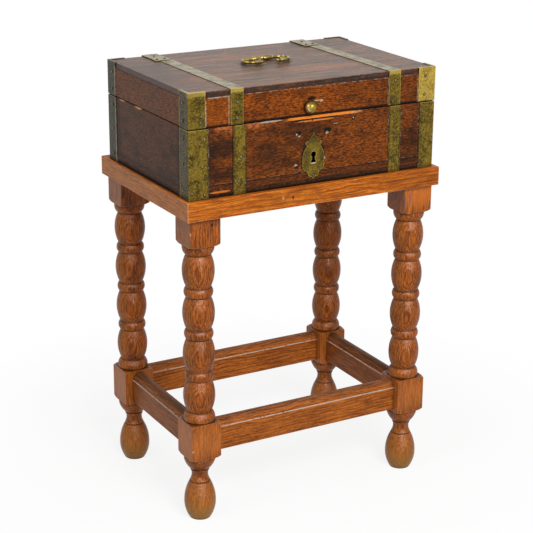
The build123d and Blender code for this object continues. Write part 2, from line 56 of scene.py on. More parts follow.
def paint(chip: Chip) -> Triple:
    """Colour of an 8-bit paint chip in linear light, by the sRGB curve."""
    shares = [level / 255 for level in chip]
    return tuple(share / 12.92 if share <= 0.04045 else ((share + 0.055) / 1.055) ** 2.4 for share in shares)


def put_down_all() -> None:
    """Deselect every object, so that the next operator acts on its own piece."""
    bpy.ops.object.select_all(action="DESELECT")


def dress(node: str, material: Material) -> None:
    """Give a CAD node its material.

    Args:
        node: Name of the node.
        material: The material.
    """
    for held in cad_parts[node].material_slots:
        held.material = material
    log.info("dressed %s with %s", node, material.name)


class Grain(Enum):
    """Way that a board's grain runs, with the turn that lays it along the first coordinate."""

    ALONG_X = (0, 0, 0)
    ALONG_Y = (0, 0, -math.pi / 2)
    ALONG_Z = (0, math.pi / 2, 0)


class Patch(Enum):
    """Outline of a mark."""

    ROUND = "round"
    SQUARE = "square"


class Side(Enum):
    """Outer faces of the object, each by its outward direction, and the direction that gets the key lamp's
    painted highlight.
    """

    FRONT = (0, -1, 0)
    BACK = (0, 1, 0)
    LEFT = (-1, 0, 0)
    RIGHT = (1, 0, 0)
    TOP = (0, 0, 1)
    UNDER = (0, 0, -1)
    # Half-way between the camera and the key lamp: faces turned this way get a painted highlight.
    LAMP_HIGHLIGHT = (-0.27, -0.84, 0.47)


# ---------------------------------------------------------------- node bench
class NodeBench:
    """Bench on which the shader nodes of one finish are laid out and wired.

    Attributes:
        holder: Material or world that the nodes belong to.
        tree: Its nodes and links.
        colour: Colour of the surface, as laid on so far.
        relief: Height of the surface in millimetres.
    """

    def __init__(self, holder: Material | bpy.types.World) -> None:
        """Clear a new material or world.

        Args:
            holder: The material or world.
        """
        holder.use_nodes = True
        self.holder = holder
        self.tree = holder.node_tree
        self.tree.nodes.clear()
        self.colour: Feed = WHITE
        self.relief: Feed = 0

    def add(self, kind: str, feeds: dict[str | int, Feed], **settings: object) -> bpy.types.Node:
        """Add one node.

        Args:
            kind: Blender's name of the node, without its first part ShaderNode.
            feeds: What goes into each input: a socket, a number, a vector or a paint chip.
            settings: Properties of the node.

        Returns:
            The node.
        """
        node = self.tree.nodes.new(f"ShaderNode{kind}")
        for key, value in settings.items():
            setattr(node, key, value)
        for key, value in feeds.items():
            socket = node.inputs[key]
            if isinstance(value, Socket):
                self.tree.links.new(value, socket)
            elif socket.type == "RGBA":
                socket.default_value = (*paint(value), 1)
            else:
                socket.default_value = value
        return node

    def math(self, operation: str, *values: Feed, clamp: bool = False) -> Socket:
        """Arithmetic on numbers."""
        return self.add("Math", dict(enumerate(values)), operation=operation, use_clamp=clamp).outputs[0]

    def times(self, first: Feed, second: Feed, plus: Feed = 0, clamp: bool = False) -> Socket:
        """Product of two numbers, with a third one added."""
        return self.math("MULTIPLY_ADD", first, second, plus, clamp=clamp)

    def total(self, *terms: tuple[Feed, float], start: float = 0) -> Socket:
        """Add up numbers, each by its weight.

        Args:
            terms: Each number with its weight.
            start: What they are added to.

        Returns:
            The sum.
        """
        result = start
        for value, weight in terms:
            result = self.times(value, weight, result)
        return result

    def vector(self, operation: str, *values: Feed) -> Socket:
        """Arithmetic on vectors, which gives a vector."""
        return self.add("VectorMath", dict(enumerate(values)), operation=operation).outputs[0]

    def measure(self, operation: str, *values: Feed) -> Socket:
        """Arithmetic on vectors, which gives a number."""
        return self.add("VectorMath", dict(enumerate(values)), operation=operation).outputs[1]

    def largest(self, vector: Feed) -> Socket:
        """Size of the largest of a vector's three parts."""
        parts = self.add("SeparateXYZ", {0: self.vector("ABSOLUTE", vector)}).outputs
        return self.math("MAXIMUM", self.math("MAXIMUM", parts[0], parts[1]), parts[2])

    def step(self, value: Feed, low: float, high: float) -> Socket:
        """Soft step from 0 at low to 1 at high; low may be the larger one."""
        feeds = {"Value": value, "From Min": low, "From Max": high}
        return self.add("MapRange", feeds, interpolation_type="SMOOTHSTEP").outputs[0]

    def span(self, value: Feed, start: float, end: float) -> Socket:
        """Straight map of 0 to 1 onto start to end."""
        return self.add("MapRange", {"Value": value, "To Min": start, "To Max": end}).outputs[0]

    def blend(self, share: Feed, first: Feed, second: Feed) -> Socket:
        """Mix of two colours, with this share of the second."""
        return self.add("Mix", {0: share, 6: first, 7: second}, data_type="RGBA").outputs[2]

    def coat(self, share: Feed, colour: Feed) -> None:
        """Lay a colour over the surface, as thickly as the share says."""
        self.colour = self.blend(share, self.colour, colour)

    def place(self) -> Socket:
        """Place on the object in millimetres, in its rest pose."""
        metres = self.add("TexCoord", {}).outputs["Object"]
        return self.vector("MULTIPLY", metres, (1 / MM, 1 / MM, 1 / MM))

    def noise(self, place: Feed, along: float, across: float, detail: float = 3,
              rough: float = 0.55) -> Socket:
        """Noise of features this long in millimetres along the first coordinate and the two others."""
        feeds = {"Vector": self.vector("MULTIPLY", place, (1 / along, 1 / across, 1 / across)),
                 "Scale": 1, "Detail": detail, "Roughness": rough}
        return self.add("TexNoise", feeds).outputs["Fac"]

    def stray(self, noise: Socket, reach: Triple, place: Feed) -> Socket:
        """Coordinates that a noise leads astray, by up to about half the reach."""
        shift = self.vector("SUBTRACT", noise.node.outputs["Color"], (0.5, 0.5, 0.5))
        return self.vector("MULTIPLY_ADD", shift, reach, place)

    def arris(self, radius: float, low: float, high: float) -> Socket:
        """1 on sharp edges, 0 on faces and gentle curves.

        Args:
            radius: Reach from the edge in millimetres.
            low: Turn of the normal, as 1 minus its cosine, that still counts as a face.
            high: Turn that counts fully as an edge.

        Returns:
            The mask.
        """
        rounded = self.add("Bevel", {"Radius": radius * MM}, samples=6).outputs[0]
        normal = self.add("NewGeometry", {}).outputs["Normal"]
        return self.step(self.math("SUBTRACT", 1, self.measure("DOT_PRODUCT", rounded, normal)), low, high)

    def hollow(self, reach: float, low: float, high: float) -> Socket:
        """1 in corners and gaps that are open to low or less, 0 on faces open to high."""
        node = self.add("AmbientOcclusion", {"Distance": reach * MM}, samples=8)
        return self.step(node.outputs["AO"], high, low)

    def lay_marks(self, place: Socket, marks: tuple[Mark, ...]) -> None:
        """Lay marks of age, painted shade and painted highlights over the surface, and sink those that are
        dents.

        Args:
            place: Coordinates in millimetres.
            marks: The marks, the lowest first.
        """
        wobble = self.noise(place, 6, 6, 5, 0.74)
        for mark in marks:
            inside = mark.mask(self, place, wobble)
            self.coat(inside, mark.colour)
            if mark.sunk:
                self.relief = self.times(inside, -mark.sunk, self.relief)

    def close(self, shader: bpy.types.Node, kind: str = "Material") -> Material | bpy.types.World:
        """Wire the last shader to the output of the material or world."""
        self.add(f"Output{kind}", {0: shader.outputs[0]})
        return self.holder

    def finish(self, feeds: dict[str | int, Feed], depth: float) -> Material:
        """Close the material with its colour, its relief of this depth, and other inputs of the shader."""
        bump = self.add("Bump", {"Height": self.relief, "Distance": MM, "Strength": depth}).outputs[0]
        return self.close(self.add("BsdfPrincipled", {"Base Color": self.colour, "Normal": bump, **feeds}))


# ---------------------------------------------------------------- finishes
@dataclass(frozen=True)
class Mark:
    """Dent, chip, stain, plugged hole, painted shade, painted shadow or painted highlight on a board or
    mount.

    Attributes:
        centre: Middle of the mark in millimetres.
        reach: Half its size along each axis in millimetres.
        colour: Its colour.
        depth: How much of its colour shows, 0 to 1.
        sunk: How far it lies below the surface in millimetres.
        ragged: How uneven its outline is.
        patch: Round or square outline.
        soft: Half width of its rim, as a share of its size.
        broken: How much of it is worn away in patches.
    """

    centre: Triple
    reach: Triple
    colour: Chip
    depth: float = 0.9
    sunk: float = 0
    ragged: float = 0.7
    patch: Patch = Patch.ROUND
    soft: float = 0.15
    broken: float = 0

    def mask(self, bench: NodeBench, place: Socket, wobble: Socket) -> Socket:
        """Mask of the mark on a material's bench.

        Args:
            bench: Bench of the material.
            place: Coordinates in millimetres.
            wobble: Noise that breaks up the outline.

        Returns:
            1 inside the mark, 0 outside.
        """
        offset = bench.vector("SUBTRACT", place, self.centre)
        local = bench.vector("MULTIPLY", offset, tuple(1 / reach for reach in self.reach))
        spread = 1.6 * self.ragged
        outline = bench.stray(wobble, (spread, spread, spread), local)
        square = self.patch is Patch.SQUARE
        distance = bench.largest(outline) if square else bench.measure("LENGTH", outline)
        inside = bench.times(bench.step(distance, 1 + self.soft, 1 - self.soft), self.depth)
        if not self.broken:
            return inside
        rim = 0.05
        return bench.times(inside, bench.step(wobble, self.broken - rim, self.broken + rim))


@dataclass(frozen=True)
class Skin:
    """Change of colour on one side of a piece: dust, weathering, raw wood inside, painted shade, painted
    sheen and painted highlights.

    Attributes:
        side: Side that the surface faces.
        light: Colour of its lighter streaks.
        dark: Colour of its darker streaks.
        depth: How much of it shows, 0 to 1.
        turn: Agreement with the side where it starts and where it shows in full.
        plain: Whether it shows long even grain in place of the board's own figure.
    """

    side: Side
    light: Chip
    dark: Chip
    depth: float
    turn: tuple[float, float] = (0.55, 0.9)
    plain: bool = False

    def mask(self, bench: NodeBench) -> Socket:
        """How much of it shows, by the way that the surface faces in its rest pose."""
        agreement = bench.measure("DOT_PRODUCT", bench.add("TexCoord", {}).outputs["Normal"], self.side.value)
        return bench.times(bench.step(agreement, *self.turn), self.depth)


@dataclass(frozen=True)
class Cut:
    """How one board or billet was cut from the tree.

    Attributes:
        node: CAD node.
        grain: Way that its grain runs.
        pith: Heart of the tree across the grain, in millimetres in the turned coordinates.
        seed: Shift along the grain that sets boards apart.
        marks: Marks of age, painted shade and painted highlights on it.
        skins: Sides with a colour of their own, or with painted shade, sheen or highlights.
    """

    node: str
    grain: Grain
    pith: tuple[float, float]
    seed: float
    marks: tuple[Mark, ...] = ()
    skins: tuple[Skin, ...] = ()


@dataclass(frozen=True)
class OakFinish:
    """Old waxed oak.

    Attributes:
        name: Name of the finish.
        light: Pale early wood.
        mid: Body colour.
        dark: Late wood and stains.
        pore: Open pores.
        worn: Rubbed arrises.
        grime_and_shade: Dirt and painted shade in the corners.
        figure: Length of a streak along and across the grain in millimetres.
        ring_width: Width of a year ring in millimetres.
        ring_depth: How much the rings show.
        stain_depth: How much the dark stains show.
        clouds: How much of the stains shows through a side's own colour.
        pore_depth: How much the pores show.
        worn_depth: How much the arrises are rubbed.
        roughness: Roughness of the waxed surface.
        sheen: Strength of its reflections.
        wax: Weight of the polished wax over it.
    """

    name: str
    light: Chip
    mid: Chip
    dark: Chip
    pore: Chip
    worn: Chip
    grime_and_shade: Chip
    figure: tuple[float, float]
    ring_width: float = 3.6
    ring_depth: float = 0.6
    stain_depth: float = 0.5
    clouds: float = 0.2
    pore_depth: float = 0.6
    worn_depth: float = 0.6
    roughness: float = 0.42
    sheen: float = 0.2
    wax: float = 0.1

    def material(self, cut: Cut) -> Material:
        """Material of one board, its grain, marks and wear.

        Args:
            cut: Board or billet.

        Returns:
            The material.
        """
        bench = NodeBench(bpy.data.materials.new(f"{self.name}_{cut.node}"))
        place = bench.place()
        shift = (cut.seed, -cut.pith[0], -cut.pith[1])
        feeds = {"Vector": place, "Rotation": cut.grain.value, "Location": shift}
        along = bench.add("Mapping", feeds).outputs[0]

        # Year rings round the pith, with dark late wood and porous early wood.
        bent = bench.stray(bench.noise(along, 130, 45, 2), (0, 16, 16), along)
        across = bench.vector("MULTIPLY", bent, (0.012, 1, 1))
        year = bench.math("FRACT", bench.math("DIVIDE", bench.measure("LENGTH", across), self.ring_width))
        late = bench.times(bench.step(year, 0.35, 0.85), bench.step(year, 1, 0.93))
        early = bench.math("SUBTRACT", 1, bench.step(year, 0, 0.5))
        streak = bench.noise(bent, *self.figure, 5, 0.68)
        stain = bench.noise(bent, 60, 24, 5, 0.66)
        dashes = bench.noise(bent, 8, 0.7, 2)
        grit = bench.noise(place, 1.3, 1.3)

        bench.colour = bench.blend(bench.step(streak, 0.42, 0.6), self.mid, self.light)
        ringed = bench.span(stain, 0.5 * self.ring_depth, 1.3 * self.ring_depth)
        bench.coat(bench.times(late, ringed), self.dark)
        stained = bench.times(bench.step(stain, 0.46, 0.66), self.stain_depth)
        bench.coat(stained, self.dark)
        bench.coat(bench.times(bench.step(streak, 0.46, 0.32), self.pore_depth), self.dark)
        open_pores = bench.times(bench.step(dashes, 0.54, 0.62), bench.span(early, 0.45, 1))
        pores = bench.times(open_pores, self.pore_depth)
        bench.coat(pores, self.pore)

        clouded = bench.times(stained, self.clouds)
        for skin in cut.skins:
            shown = bench.times(skin.mask(bench), bench.span(stain, 0.7, 1.3), clamp=True)
            grain = bench.noise(bent, 70, 3, 4, 0.6) if skin.plain else streak
            tone = bench.blend(bench.step(grain, 0.36, 0.62), skin.dark, skin.light)
            tone = bench.blend(clouded, tone, self.dark)
            bench.coat(shown, bench.blend(pores, tone, self.pore))

        # Arrises rubbed bare where they stand clear, and dirt with painted shade in the corners.
        dirt_and_shade = bench.hollow(7, 0.3, 0.92)
        clear = bench.times(bench.math("SUBTRACT", 1, dirt_and_shade), self.worn_depth)
        rubbed = bench.times(bench.arris(1.7, 0.03, 0.16), bench.span(stain, 0.3, 1.5))
        rubbed = bench.times(rubbed, bench.span(grit, 0.6, 1.4))
        bench.coat(bench.times(rubbed, clear, clamp=True), self.worn)
        bench.coat(bench.times(dirt_and_shade, 0.92), self.grime_and_shade)

        bench.relief = bench.total((open_pores, -0.2), (streak, 0.3), (grit, 0.12))
        bench.lay_marks(place, cut.marks)
        shine = bench.total((streak, 0.24), (dirt_and_shade, 0.3), start=self.roughness - 0.12)
        surface = {"Roughness": shine, "Specular IOR Level": self.sheen, "Coat Weight": self.wax,
                   "Coat Roughness": 0.24}
        return bench.finish(surface, 0.85)

    def dress_boards(self, *cuts: Cut) -> None:
        """Give each board its own material."""
        for cut in cuts:
            dress(cut.node, self.material(cut))


@dataclass(frozen=True)
class BrassFinish:
    """Hand-cut sheet or cast brass under an olive patina.

    Attributes:
        name: Name of the finish.
        base: Patina on open faces.
        dark: Spots and dirt.
        bright: Rubbed edges, which also give their painted highlights.
        bare: How much bare metal shows through the patina.
        mottle: Size of the spots in millimetres.
        metal: How metallic the surface is.
        roughness: Roughness of the patina.
        worn_depth: How bright the edges are.
        beaten: Strength of the hammer marks.
        rim: How dark the slanting rim of a domed head is painted, as painted shade.
        skins: Sides with a colour of their own, or with painted shade, sheen or highlights.
    """

    name: str
    base: Chip
    dark: Chip
    bright: Chip
    bare: float = 0.25
    mottle: float = 2.4
    metal: float = 0.85
    roughness: float = 0.42
    worn_depth: float = 0.9
    beaten: float = 0.45
    rim: float = 0
    skins: tuple[Skin, ...] = ()

    def material(self, name: str = "", marks: tuple[Mark, ...] = ()) -> Material:
        """Material of the metal.

        Args:
            name: Name of the material, where it isn't the finish's own.
            marks: Marks of age, painted shade and painted highlights on the pieces.

        Returns:
            The material.
        """
        bench = NodeBench(bpy.data.materials.new(name or self.name))
        place = bench.place()
        spots = bench.noise(place, self.mottle, self.mottle, 4, 0.7)
        cloud = bench.noise(place, 17, 17, 4, 0.6)
        dents = bench.noise(place, 8, 8, 1)
        pits = bench.noise(place, 1.3, 1.3, 2)

        tint = bench.step(bench.total((spots, 0.5), (cloud, 0.45)), 0.32, 0.57)
        bench.colour = bench.blend(tint, self.dark, self.base)
        for skin in self.skins:
            bench.coat(skin.mask(bench), bench.blend(tint, skin.dark, skin.light))
        bench.coat(bench.times(bench.step(spots, 0.5, 0.7), self.bare), self.bright)
        bench.coat(bench.times(bench.step(pits, 0.58, 0.68), 0.45), self.dark)
        # Grease and dirt in the hollows and round the nail heads, with painted shade there.
        dirt_and_shade = bench.hollow(2.6, 0.45, 0.97)
        bench.coat(bench.times(dirt_and_shade, 0.9), GREASE_AND_SHADE_BLACK)
        # Painted shade on the slanting rim of a domed head, darker than its middle.
        if self.rim:
            flat = bench.largest(bench.add("TexCoord", {}).outputs["Normal"])
            bench.coat(bench.times(bench.step(flat, 0.97, 0.84), self.rim), RIM_SHADE_BLACK)
        # Rubbed edges painted bright, partly as painted highlights along the arrises.
        rubbed_edge_and_highlight = bench.times(bench.arris(1.5, 0.015, 0.1), bench.span(cloud, 0.5, 1.5))
        rubbed_edge_and_highlight = bench.times(rubbed_edge_and_highlight, bench.math("SUBTRACT", 1, dirt_and_shade))
        rubbed_edge_and_highlight = bench.times(rubbed_edge_and_highlight, self.worn_depth, clamp=True)
        bench.coat(rubbed_edge_and_highlight, self.bright)

        bench.relief = bench.total((dents, 1.1), (spots, 0.25), (bench.step(pits, 0.55, 0.75), -0.12))
        bench.lay_marks(place, marks)
        shine = bench.total((spots, -0.16), (rubbed_edge_and_highlight, -0.14), start=self.roughness + 0.1)
        surface = {"Roughness": bench.times(dirt_and_shade, 0.25, shine, clamp=True),
                   "Metallic": bench.span(dirt_and_shade, self.metal, 0.2)}
        return bench.finish(surface, self.beaten)


@dataclass(frozen=True)
class IronFinish:
    """Forged iron with brown rust.

    Attributes:
        name: Name of the finish.
        iron: Colour of the metal.
        rust: Colour of the rust.
        rubbed: Colour of its edges.
        dirt_and_shade: Colour of the dirt and painted shade in its corners.
    """

    name: str
    iron: Chip
    rust: Chip
    rubbed: Chip
    dirt_and_shade: Chip

    def material(self) -> Material:
        """Material of the metal.

        Returns:
            The material.
        """
        bench = NodeBench(bpy.data.materials.new(self.name))
        place = bench.place()
        rusted = bench.step(bench.noise(place, 9, 9, 5, 0.65), 0.42, 0.6)
        hammer = bench.noise(place, 6, 6, 1)
        scale = bench.noise(place, 0.8, 0.8)
        bench.colour = bench.blend(rusted, self.iron, self.rust)
        bench.coat(bench.times(bench.arris(0.9, 0.03, 0.14), 0.6), self.rubbed)
        # Dirt and painted shade in the corners.
        bench.coat(bench.hollow(3, 0.3, 0.9), self.dirt_and_shade)
        bench.relief = bench.total((hammer, 0.7), (scale, 0.15), (rusted, 0.1))
        surface = {"Roughness": bench.span(rusted, 0.4, 0.75), "Metallic": bench.span(rusted, 0.9, 0.1)}
        return bench.finish(surface, 0.5)


# Its pale worn colour on the arrises also stands in for painted highlights along them.
STAND_OAK = OakFinish(
    name="stand_oak",
    light=(212, 122, 36), mid=(178, 90, 20), dark=(98, 44, 8), pore=(60, 26, 6),
    worn=(226, 172, 132), grime_and_shade=(30, 14, 6),
    figure=(46, 1.5), ring_width=4.6, ring_depth=0.5, stain_depth=0.36, worn_depth=0.8,
    roughness=0.45, sheen=0.1, wax=0.05,
)
STRETCHER_OAK = replace(
    STAND_OAK, name="stretcher_oak",
    light=(196, 112, 42), mid=(158, 82, 24), dark=(78, 38, 10),
    figure=(44, 1.5), stain_depth=0.3, pore_depth=0.75,
)
TURNED_OAK = OakFinish(
    name="turned_oak",
    light=(190, 104, 34), mid=(146, 72, 16), dark=(70, 30, 4), pore=(40, 17, 3),
    worn=(222, 166, 124), grime_and_shade=(22, 10, 4),
    figure=(20, 1.6), ring_width=2.7, pore_depth=0.75, worn_depth=0.7, roughness=0.38, sheen=0.08, wax=0.22,
)
LID_OAK = OakFinish(
    name="lid_oak",
    light=(164, 84, 20), mid=(104, 47, 8), dark=(38, 16, 4), pore=(18, 9, 4),
    worn=(138, 92, 60), grime_and_shade=(12, 8, 5),
    figure=(6, 1.6), ring_depth=0.3, stain_depth=0.55, pore_depth=0.85, worn_depth=0.35,
    roughness=0.46, sheen=0.07, wax=0.05,
)
BOX_OAK = replace(
    LID_OAK, name="box_oak",
    light=(150, 77, 22), mid=(92, 45, 12), dark=(28, 16, 8), pore=(14, 9, 5),
    figure=(6, 1.7), stain_depth=0.7, clouds=0.7, pore_depth=0.95,
)
TOP_OAK = replace(
    LID_OAK, name="top_oak", figure=(120, 3.8), ring_depth=0.4, clouds=0.6, roughness=0.38, sheen=0.22,
)
# Its left faces are painted dark as painted shade, and its pale grey tops stand for oxide with painted sheen.
MOUNT_BRASS = BrassFinish(
    name="mount_brass", base=(126, 104, 33), dark=(50, 38, 8), bright=(214, 186, 92),
    skins=(Skin(Side.LEFT, (58, 53, 30), (25, 22, 13), 0.92),
           Skin(Side.TOP, (178, 172, 150), (84, 78, 60), 0.92),
           Skin(Side.BACK, (92, 82, 54), (54, 46, 32), 0.8)),
)
LID_BRASS = replace(MOUNT_BRASS, name="lid_brass", base=(114, 94, 27))
BARE_BRASS = replace(
    MOUNT_BRASS, name="bare_brass", base=(188, 160, 68), dark=(120, 94, 30), bright=(220, 196, 112), bare=0.4,
)
# Its left faces are painted dark as painted shade.
DULL_BRASS = replace(
    MOUNT_BRASS, name="dull_brass", base=(96, 84, 48), dark=(50, 43, 27), bright=(128, 120, 90),
    skins=(Skin(Side.LEFT, (53, 48, 32), (18, 16, 10), 0.95),
           Skin(Side.TOP, (100, 90, 76), (50, 43, 35), 0.95)),
)
WORN_BRASS = BrassFinish(
    name="worn_brass", base=(164, 138, 60), dark=(66, 52, 14), bright=(246, 228, 172), bare=0.5,
    mottle=3.4, metal=0.92, roughness=0.3, beaten=0.3,
)
# Painted highlight on the left of the knob, and painted shade on its right.
KNOB_BRASS = replace(
    WORN_BRASS, name="knob_brass", base=(148, 120, 42), mottle=6, bare=0.1, beaten=0.12,
    skins=(Skin(Side.RIGHT, (92, 72, 20), (54, 40, 10), 0.75, (0, 0.7)),
           Skin(Side.LEFT, (226, 206, 146), (166, 138, 66), 0.75, (0.4, 0.85))),
)
# Left faces painted dark as painted shade, and a dark rim of painted shade round each head.
NAIL_BRASS = BrassFinish(
    name="nail_brass", base=(128, 112, 62), dark=(60, 48, 20), bright=(184, 172, 124), bare=0.35,
    mottle=2, metal=0.6, roughness=0.45, worn_depth=0, rim=0.85,
    skins=(Skin(Side.LEFT, (112, 102, 72), (46, 40, 26), 0.9),),
)
LOCK_IRON = IronFinish(
    name="lock_iron", iron=(62, 56, 52), rust=(84, 48, 30), rubbed=(128, 122, 116), dirt_and_shade=(24, 18, 14),
)

WHITE = (255, 255, 255)
PALE_WOOD = (196, 150, 104)
SPLIT_WOOD = (226, 130, 48)
FADED_WOOD = (176, 100, 56)
DARK_HOLE = (16, 11, 8)
PALE_DIRT = (170, 158, 140)
SHADE = (34, 21, 13)
# Black of painted shadow lines at the mounts, the seam and the foot, and of cracks and dark lines in the
# wood.
SHADOW_AND_CRACK_BLACK = (22, 15, 9)
WORN_LINE = (218, 198, 182)
GREASE_AND_SHADE_BLACK = (28, 22, 12)
RIM_SHADE_BLACK = (24, 19, 10)


# ---------------------------------------------------------------- nails
@dataclass
class NailSmith:
    """Forges domed nail heads and drives them into the mounts.

    Attributes:
        material: Finish of the heads.
        radius: Radius of a head in millimetres.
        height: Height of a head in millimetres.
        sides: Corners of a head's rim.
        luck: Draws that make each head a little different.
    """

    material: Material
    radius: float = 2.8
    height: float = 1.4
    sides: int = 14
    luck: random.Random = field(default_factory=lambda: random.Random(7))

    def head(self) -> bpy.types.Object:
        """Model one head, its foot on z = 0.

        Returns:
            The head.
        """
        put_down_all()
        rim = self.height * 0.3
        bpy.ops.mesh.primitive_cylinder_add(
            vertices=self.sides, radius=self.radius * MM, depth=rim * MM, location=(0, 0, rim / 2 * MM)
        )
        head = bpy.context.object
        bpy.ops.object.mode_set(mode="EDIT")
        bpy.ops.mesh.select_all(action="DESELECT")
        bpy.ops.mesh.select_mode(type="FACE")
        mesh = bmesh.from_edit_mesh(head.data)
        for face in mesh.faces:
            face.select_set(face.normal.z > 0.9)
        bmesh.update_edit_mesh(head.data)
        for share, rise in ((0.22, 0.33), (0.26, 0.24), (0.28, 0.11)):
            bpy.ops.mesh.inset(thickness=self.radius * share * MM, depth=self.height * rise * MM)
        bpy.ops.object.mode_set(mode="OBJECT")
        bpy.ops.object.transform_apply(location=True, rotation=True, scale=True)
        bpy.ops.object.shade_smooth_by_angle(angle=math.radians(50))
        return head

    def drive(self, name: str, body: str, side: Side, level: float, spots: list[tuple[float, float]],
              scale: float = 1) -> None:
        """Drive a row of nails into one face of a body, as one piece.

        Args:
            name: Name of the piece.
            body: CAD body that the nails ride on.
            side: Side of the object that the heads face.
            level: Outer face of the mount along that side's axis, in millimetres.
            spots: The two other coordinates of each nail in millimetres, in X, Y, Z order.
            scale: Size of the heads.
        """
        master = self.head()
        turn = Vector((0, 0, 1)).rotation_difference(Vector(side.value)).to_matrix().to_4x4()
        axis = next(index for index in range(3) if side.value[index])
        heads = []
        for spot in spots:
            place = list(spot)
            place.insert(axis, level)
            copy = master.copy()
            copy.data = master.data.copy()
            bpy.context.collection.objects.link(copy)
            size = scale * self.luck.uniform(0.9, 1.1)
            flat = Matrix.Diagonal((size, size * self.luck.uniform(0.9, 1), self.luck.uniform(0.8, 1), 1))
            spin = Matrix.Rotation(self.luck.uniform(0, math.tau), 4, "Z")
            copy.data.transform(Matrix.Translation(Vector(place) * MM) @ turn @ spin @ flat)
            heads.append(copy)
        bpy.data.objects.remove(master)
        put_down_all()
        for head in heads:
            head.select_set(True)
        piece = heads[0]
        bpy.context.view_layer.objects.active = piece
        if len(heads) > 1:
            bpy.ops.object.join()
        piece.name = name
        piece.data.materials.clear()
        piece.data.materials.append(self.material)
        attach(piece, body)
        log.info("drove %d nails as %s", len(heads), name)


# ---------------------------------------------------------------- stand
@dataclass
class Stand:
    """Turned oak stand: mitred frame with its panel, four legs, four stretchers.

    Attributes:
        top: Height of the frame's top in millimetres.
        front: Front face of the frame.
        leg_x: Middle of the right legs.
        leg_y: Middle of the back legs.
        block: Half the side of a leg's square blocks.
        ledge: Height of the arris under a stretcher's crown.
        grooves: Height, half width and darkness of the dirt and painted shade in each turned groove.
    """

    top: float = 534
    front: float = -158
    leg_x: float = 192
    leg_y: float = 125
    block: float = 25.5
    ledge: float = 153.4
    grooves: tuple[Triple, ...] = (
        (63.9, 1, 0.65), (85, 1.2, 0.6), (106.8, 1.1, 0.5), (169.6, 1, 0.6), (185.2, 1, 0.6),
        (238.1, 1, 0.65), (253, 1, 0.65), (306.5, 1, 0.65), (321.5, 1, 0.65), (374.9, 1, 0.65),
        (389.9, 1, 0.65), (442.9, 1, 0.6), (458.4, 1, 0.6),
    )

    def dress_frame(self) -> None:
        """Finish the rails and the panel."""
        face = self.front
        # Painted shadow of the box's foot on the top of the frame.
        foot = {"colour": SHADOW_AND_CRACK_BLACK, "ragged": 0.4, "patch": Patch.SQUARE, "soft": 0.4}
        shakes = [Mark((x, face, z), (length, 3, 1.3), (92, 42, 12), 0.6, ragged=0.9)
                  for x, z, length in ((196, 512, 22), (150, 521, 34), (30, 510, 40))]
        nail_hole = Mark((-45.4, face, 519.2), (1.6, 3, 2.4), DARK_HOLE, sunk=0.8)
        plug = Mark((-62.8, face, 520.8), (1.8, 3, 2.6), PALE_WOOD, 0.7, 0.3)
        dull = Mark((190, face, 517), (46, 3, 22), (128, 62, 16), 0.4, soft=0.8)
        front_foot_shadow = Mark((0, -147, self.top), (217, 3.2, 2), **foot)
        left_foot_shadow = Mark((-217.5, -3.5, self.top), (2.8, 143, 2), **foot)
        # Greyer left face of the left rail: painted sheen.
        end = Skin(Side.LEFT, (196, 134, 84), (140, 88, 52), 0.7)
        STAND_OAK.dress_boards(
            Cut("frame_rail_front", Grain.ALONG_X, (-60, 440), 10,
                (dull, *shakes, nail_hole, plug, front_foot_shadow)),
            Cut("frame_rail_back", Grain.ALONG_X, (90, 430), 310),
            Cut("frame_rail_left", Grain.ALONG_Y, (130, 470), 620, (left_foot_shadow,), (end,)),
            Cut("frame_rail_right", Grain.ALONG_Y, (-250, 460), 910),
            Cut("frame_panel", Grain.ALONG_X, (0, 380), 1200),
        )

    def block_marks(self) -> dict[str, tuple[Mark, ...]]:
        """Peg, knocks and stains on the blocks of the two front legs.

        Returns:
            Marks by node.
        """
        face = -self.leg_y - self.block
        peg = {"ragged": 0.2, "patch": Patch.SQUARE}
        violet = (112, 82, 84)
        return {
            "leg_front_left": (
                Mark((-208.8, face, 493.3), (5.4, 2, 5.6), (96, 46, 18), 0.5, **peg),
                Mark((-208.8, face, 493.3), (4.4, 2, 4.6), (160, 88, 34), 0.8, **peg),
                Mark((-181.2, face, 493.2), (2, 3, 2.6), DARK_HOLE, 0.9, 0.5),
                Mark((-217.3, face, 482.9), (1.3, 3, 2.6), PALE_WOOD, 0.8, 0.3),
                Mark((-216, face, 127), (1.6, 3, 2.2), PALE_WOOD, 0.85, 0.3),
            ),
            "leg_front_right": (
                Mark((192, face, 500), (34, 3, 30), (214, 118, 42), 0.55, ragged=0.3, soft=0.5),
                Mark((167.6, face, 480), (1.8, 3, 14), violet, 0.6),
                Mark((176, face, 483), (2.2, 3, 12), violet, 0.6),
            ),
        }

    def turning_marks(self, x: float, y: float) -> tuple[Mark, ...]:
        """Rubbed foot and lower block of one leg, the foot also painted paler as bounce light from the floor,
        and the dirt and painted shade in the lathe's grooves.

        Args:
            x: Middle of the leg from left to right.
            y: Middle of the leg from front to back.

        Returns:
            The marks.
        """
        # Foot and lower block painted paler; on the foot this also stands in for light bounced up from the
        # floor.
        rubbed = (
            Mark((x, y, 16), (60, 60, 44), (190, 126, 56), 0.3, ragged=0.35, soft=0.5),
            Mark((x, y, 4), (60, 60, 24), (140, 116, 58), 0.4, ragged=0.5, soft=0.6),
            Mark((x, y, 139), (50, 50, 32), (208, 124, 56), 0.36, ragged=0.4, soft=0.5),
        )
        # Dirt and painted shade in the lathe's grooves.
        grooves = [Mark((x, y, z), (40, 40, half), (34, 16, 6), depth, 0, 0.15, Patch.SQUARE, 0.6)
                   for z, half, depth in self.grooves]
        return (*rubbed, *grooves)

    def dress_legs(self) -> None:
        """Finish the four turned legs."""
        marks = self.block_marks()
